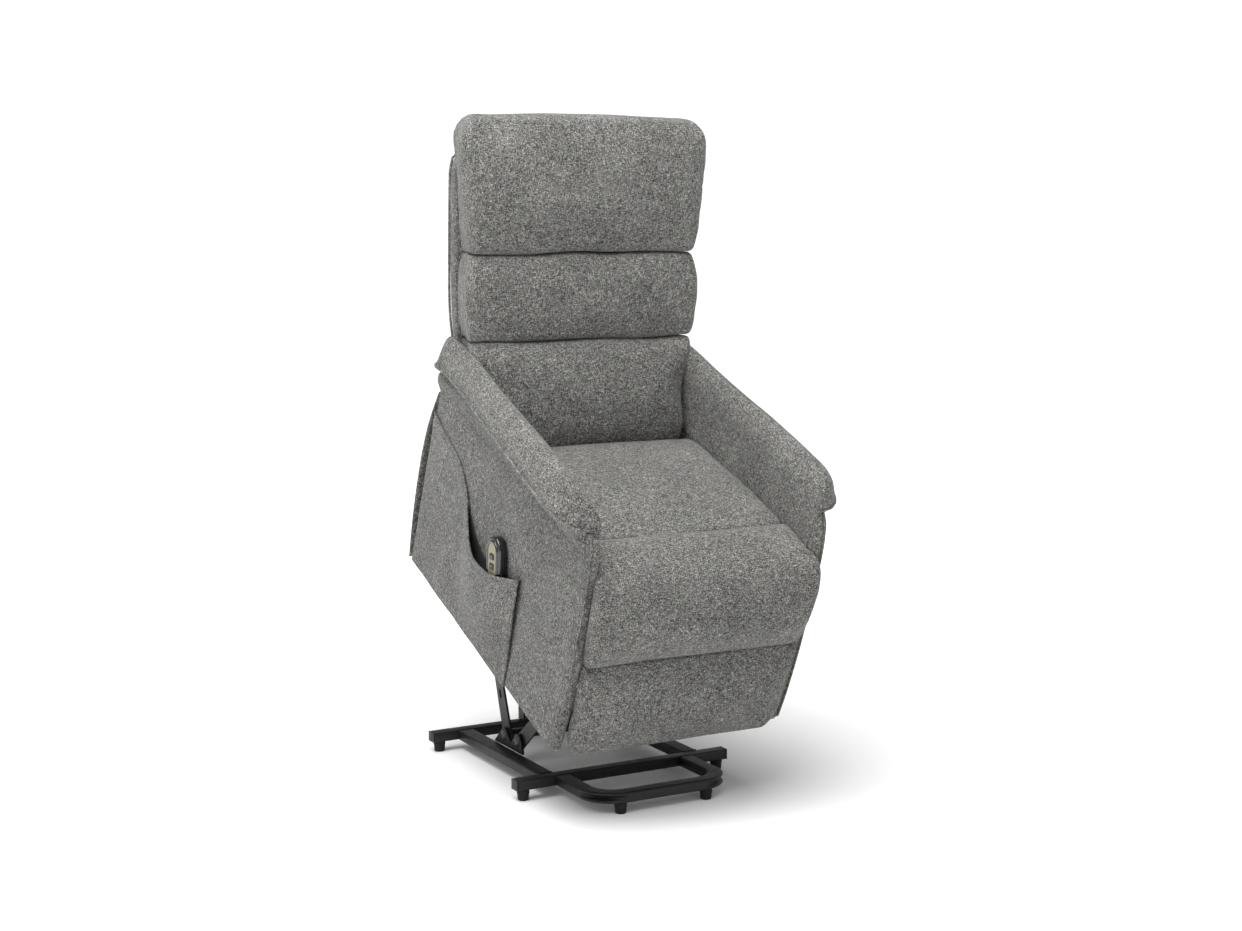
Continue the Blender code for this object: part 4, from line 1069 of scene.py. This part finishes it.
def make_bolts():
    """Domed pivot bolts on the brackets, and rivets at the other pivots."""
    for side, sign in (("left", 1), ("right", -1)):
        for kind, joint in (("link_bolt", "lift"), ("front_bolt", "front_link_swing")):
            node = f"{kind}_{side}"
            low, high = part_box(node)
            centre = Vector((low.x if sign > 0 else high.x, (low.y + high.y) / 2, (low.z + high.z) / 2))
            length = high.x - low.x
            profile = [(0.0005, 0), (0.0058, 0), (0.0060, 0.0004), (0.0060, length - 0.0046), (0.0112, length - 0.0045),
                       (0.0114, length - 0.0036), (0.0108, length - 0.0028), (0.0086, length - 0.0022),
                       (0.0082, length - 0.0006), (0.0062, length), (0.0030, length), (0.0028, length - 0.0012),
                       (0.0004, length - 0.0013)]
            disc_stack(f"pivot_{kind}_{side}", centre, (sign, 0, 0), profile, DARK_ZINC, nodes=(node,))
        knee = Vector(JOINTS["knee"]["pos_m"])
        centre = Vector((sign * 0.1400, knee.y, knee.z))
        rivet = [(0.0005, 0), (0.0080, 0.0002), (0.0092, 0.0012), (0.0092, 0.0018), (0.0058, 0.0022), (0.0058, 0.0148),
                 (0.0092, 0.0152), (0.0092, 0.0160), (0.0078, 0.0172), (0.0005, 0.0176)]
        disc_stack(f"knee_rivet_{side}", centre, (sign, 0, 0), rivet, DARK_ZINC, body="lower_links")
        tilt = Vector(JOINTS["seat_tilt"]["pos_m"])
        short = [(0.0005, 0), (0.0080, 0.0002), (0.0092, 0.0014), (0.0092, 0.0022), (0.0058, 0.0026), (0.0058, 0.0150),
                 (0.0092, 0.0153), (0.0092, 0.0160), (0.0078, 0.0172), (0.0005, 0.0176)]
        disc_stack(f"tilt_rivet_{side}", (sign * 0.1312, tilt.y, tilt.z), (sign, 0, 0), short, DARK_ZINC, body="chair")


WRAPPED = ("back_frame",)  # board under cloth, seen only in the seams between the cushions
PAINT = {
    "black_steel": STEEL, "zinc_steel": ZINC, "black_plastic": PLASTIC, "foot_rubber": RUBBER, "board_wood": WOOD,
    "dark_lining": DARK_CLOTH, "grey_fabric": BODY_FABRIC, "handset_face": KHAKI, "black_gloss": GLOSS,
}


def paint_nodes():
    """Every CAD node takes the finish of its slot, save the wrapped ones, which take the dark cloth."""
    for part in frame["record"]["subparts"]:
        node = NODES[part["node"]]
        dress(node, DARK_CLOTH if part["node"] in WRAPPED else PAINT[part["material_slot"]])
        node.data.shade_smooth()
        node.data.set_sharp_from_angle(angle=math.radians(35))


# ---- handset -----------------------------------------------------------------------------------
def make_handset():
    """Glossy case with a khaki face and two marked buttons."""
    low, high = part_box("handset_case")
    lean = math.radians(4.3)
    along = Vector((0, -math.sin(lean), math.cos(lean)))
    across = Vector((0, math.cos(lean), math.sin(lean)))
    centre = Vector(((low.x + high.x) / 2, (low.y + high.y) / 2, (low.z + high.z) / 2))

    def place(x, a, b):
        return Vector((x, centre.y, centre.z)) + across * a + along * b

    def rounded(width, height, corner, count=64):
        points = []
        for cx, cy, start in ((1, 1, 0), (-1, 1, 90), (-1, -1, 180), (1, -1, 270)):
            for a in np.linspace(start, start + 90, count // 4, endpoint=False):
                points.append((cx * (width / 2 - corner) + corner * math.cos(math.radians(a)),
                               cy * (height / 2 - corner) + corner * math.sin(math.radians(a))))
        return points
    thick = high.x - low.x
    rings = []
    for t, inset in ((0.0, 0.0048), (0.03, 0.0026), (0.10, 0.0008), (0.22, 0.0), (0.60, 0.0), (0.615, 0.0009),
                     (0.64, 0.0009), (0.655, 0.0), (0.86, 0.0008), (0.95, 0.0030), (1.0, 0.0070)):
        ring = rounded(0.060 - 2 * inset, 0.130 - 2 * inset, 0.028 - inset * 0.7)
        rings.append([place(low.x + thick * t, a, b) for a, b in ring])
    case = loft("handset_shell", rings, GLOSS)
    case.data.set_sharp_from_angle(angle=math.radians(50))
    finished(case, "handset", "black_gloss", "handset_case")

    # a rim stands proud round the khaki face
    outline = rounded(0.0430, 0.1090, 0.0210, 72)
    rim = tube("handset_rim", [place(low.x + 0.0006, a, b) for a, b in outline], 0.0040, GLOSS, 12, True)
    finished(rim, "handset", "black_gloss")
    for name, up in (("up", True), ("down", False)):
        b_low, b_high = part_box(f"button_{name}")
        middle = (b_low + b_high) / 2
        depth = b_high.x - b_low.x
        rings = []
        for t, inset in ((1.0, 0.0), (0.35, 0.0), (0.12, 0.0005), (0.02, 0.0013), (0.0, 0.0024)):
            ring = rounded(0.0188 - 2 * inset, 0.0128 - 2 * inset, 0.0030 - inset * 0.5, 40)
            rings.append([Vector((b_low.x + depth * t, middle.y, middle.z)) + across * a + along * b for a, b in ring])
        cap = loft(f"button_cap_{name}", rings, BUTTON)
        finished(cap, f"{name}_button", "black_plastic", f"button_{name}")
        sign = 1 if up else -1
        tip = [(-0.0030, -0.0018 * sign), (0.0030, -0.0018 * sign), (0.0, 0.0022 * sign)]
        rings = []
        for x, size in ((b_low.x + 0.0004, 1.0), (b_low.x - 0.00005, 1.0), (b_low.x - 0.0002, 0.8)):
            rings.append([Vector((x, middle.y, middle.z)) + across * (a * size) + along * (b * size) for a, b in tip])
        mark = loft(f"button_mark_{name}", rings, MARK)
        mark.data.set_sharp_from_angle(angle=math.radians(30))
        finished(mark, f"{name}_button", "handset_face")


# ---- room, light and camera --------------------------------------------------------------------
def make_room():
    floor = add_mesh("floor", [(-30, -30, 0), (30, -30, 0), (30, 30, 0), (-30, 30, 0)], [(0, 1, 2, 3)])
    material, tree, shader = new_material("floor")
    source = tree.nodes.new("ShaderNodeTexCoord")
    length = add_node(tree, "ShaderNodeVectorMath", operation="LENGTH")
    tree.links.new(source.outputs["Object"], length.inputs[0])
    glow = math_node(tree, "MULTIPLY", length.outputs["Value"], 1 / 6)
    glow = ramp(tree, glow, [(0.12, 0.02), (0.5, 0.74)])
    tree.links.new(glow, shader.inputs["Emission Color"])
    shader.inputs["Emission Strength"].default_value = 1.0
    shader.inputs["Base Color"].default_value = (0.93, 0.93, 0.93, 1)
    shader.inputs["Roughness"].default_value = 0.9
    shader.inputs["Specular IOR Level"].default_value = 0.0
    floor.data.materials.append(material)
    world = bpy.data.worlds.new("studio")
    bpy.context.scene.world = world
    world.use_nodes = True
    tree = world.node_tree
    background = tree.nodes["Background"]
    rays = tree.nodes.new("ShaderNodeLightPath")
    seen = add_node(tree, "ShaderNodeMix", data_type="FLOAT")
    seen.inputs[2].default_value = 0.36
    seen.inputs[3].default_value = 1.15
    tree.links.new(rays.outputs["Is Camera Ray"], seen.inputs[0])
    tree.links.new(seen.outputs[0], background.inputs["Strength"])
    background.inputs["Color"].default_value = (1, 1, 1, 1)
    for name, place, target, size, power in (
            ("overhead", (-1.0, -0.7, 4.2), (0, 0, 0.6), 3.6, 285),
            ("left", (-4.2, -1.6, 2.4), (0, 0, 0.7), 3.0, 36),
            ("front", (0.5, -4.8, 2.6), (0, 0, 0.7), 3.0, 16)):
        lamp = bpy.data.lights.new(name, "AREA")
        lamp.shape = "SQUARE"
        lamp.size = size
        lamp.energy = power
        holder = bpy.data.objects.new(name, lamp)
        holder.location = place
        holder.rotation_euler = (Vector(target) - Vector(place)).to_track_quat("-Z", "Y").to_euler()
        bpy.context.scene.collection.objects.link(holder)
    bpy.context.scene.view_settings.view_transform = "Standard"


LENS = 56.974
CAMERA_PLACE = (-2.02684, -3.73720, 1.24386)
LOOKS_DOWN, TURNED_BY = 7.3585, 28.956


def make_camera():
    camera = bpy.data.objects.new("camera", bpy.data.cameras.new("camera"))
    camera.data.sensor_width = 36.0
    camera.data.lens = LENS
    camera.location = CAMERA_PLACE
    camera.rotation_euler = (math.radians(90 - LOOKS_DOWN), 0, math.radians(-TURNED_BY))
    bpy.context.scene.collection.objects.link(camera)
    bpy.context.scene.camera = camera


# ---- the whole chair ---------------------------------------------------------------------------
make_camera()
make_room()
paint_nodes()
make_base()
make_bolts()
for side_name, side_sign in (("left", 1), ("right", -1)):
    make_side_panel(side_name, side_sign)
    make_arm(side_name, side_sign)
make_pocket()
make_pocket_mouth_dark_sheet()
make_skirt()
make_handset()
make_seat()
make_back()
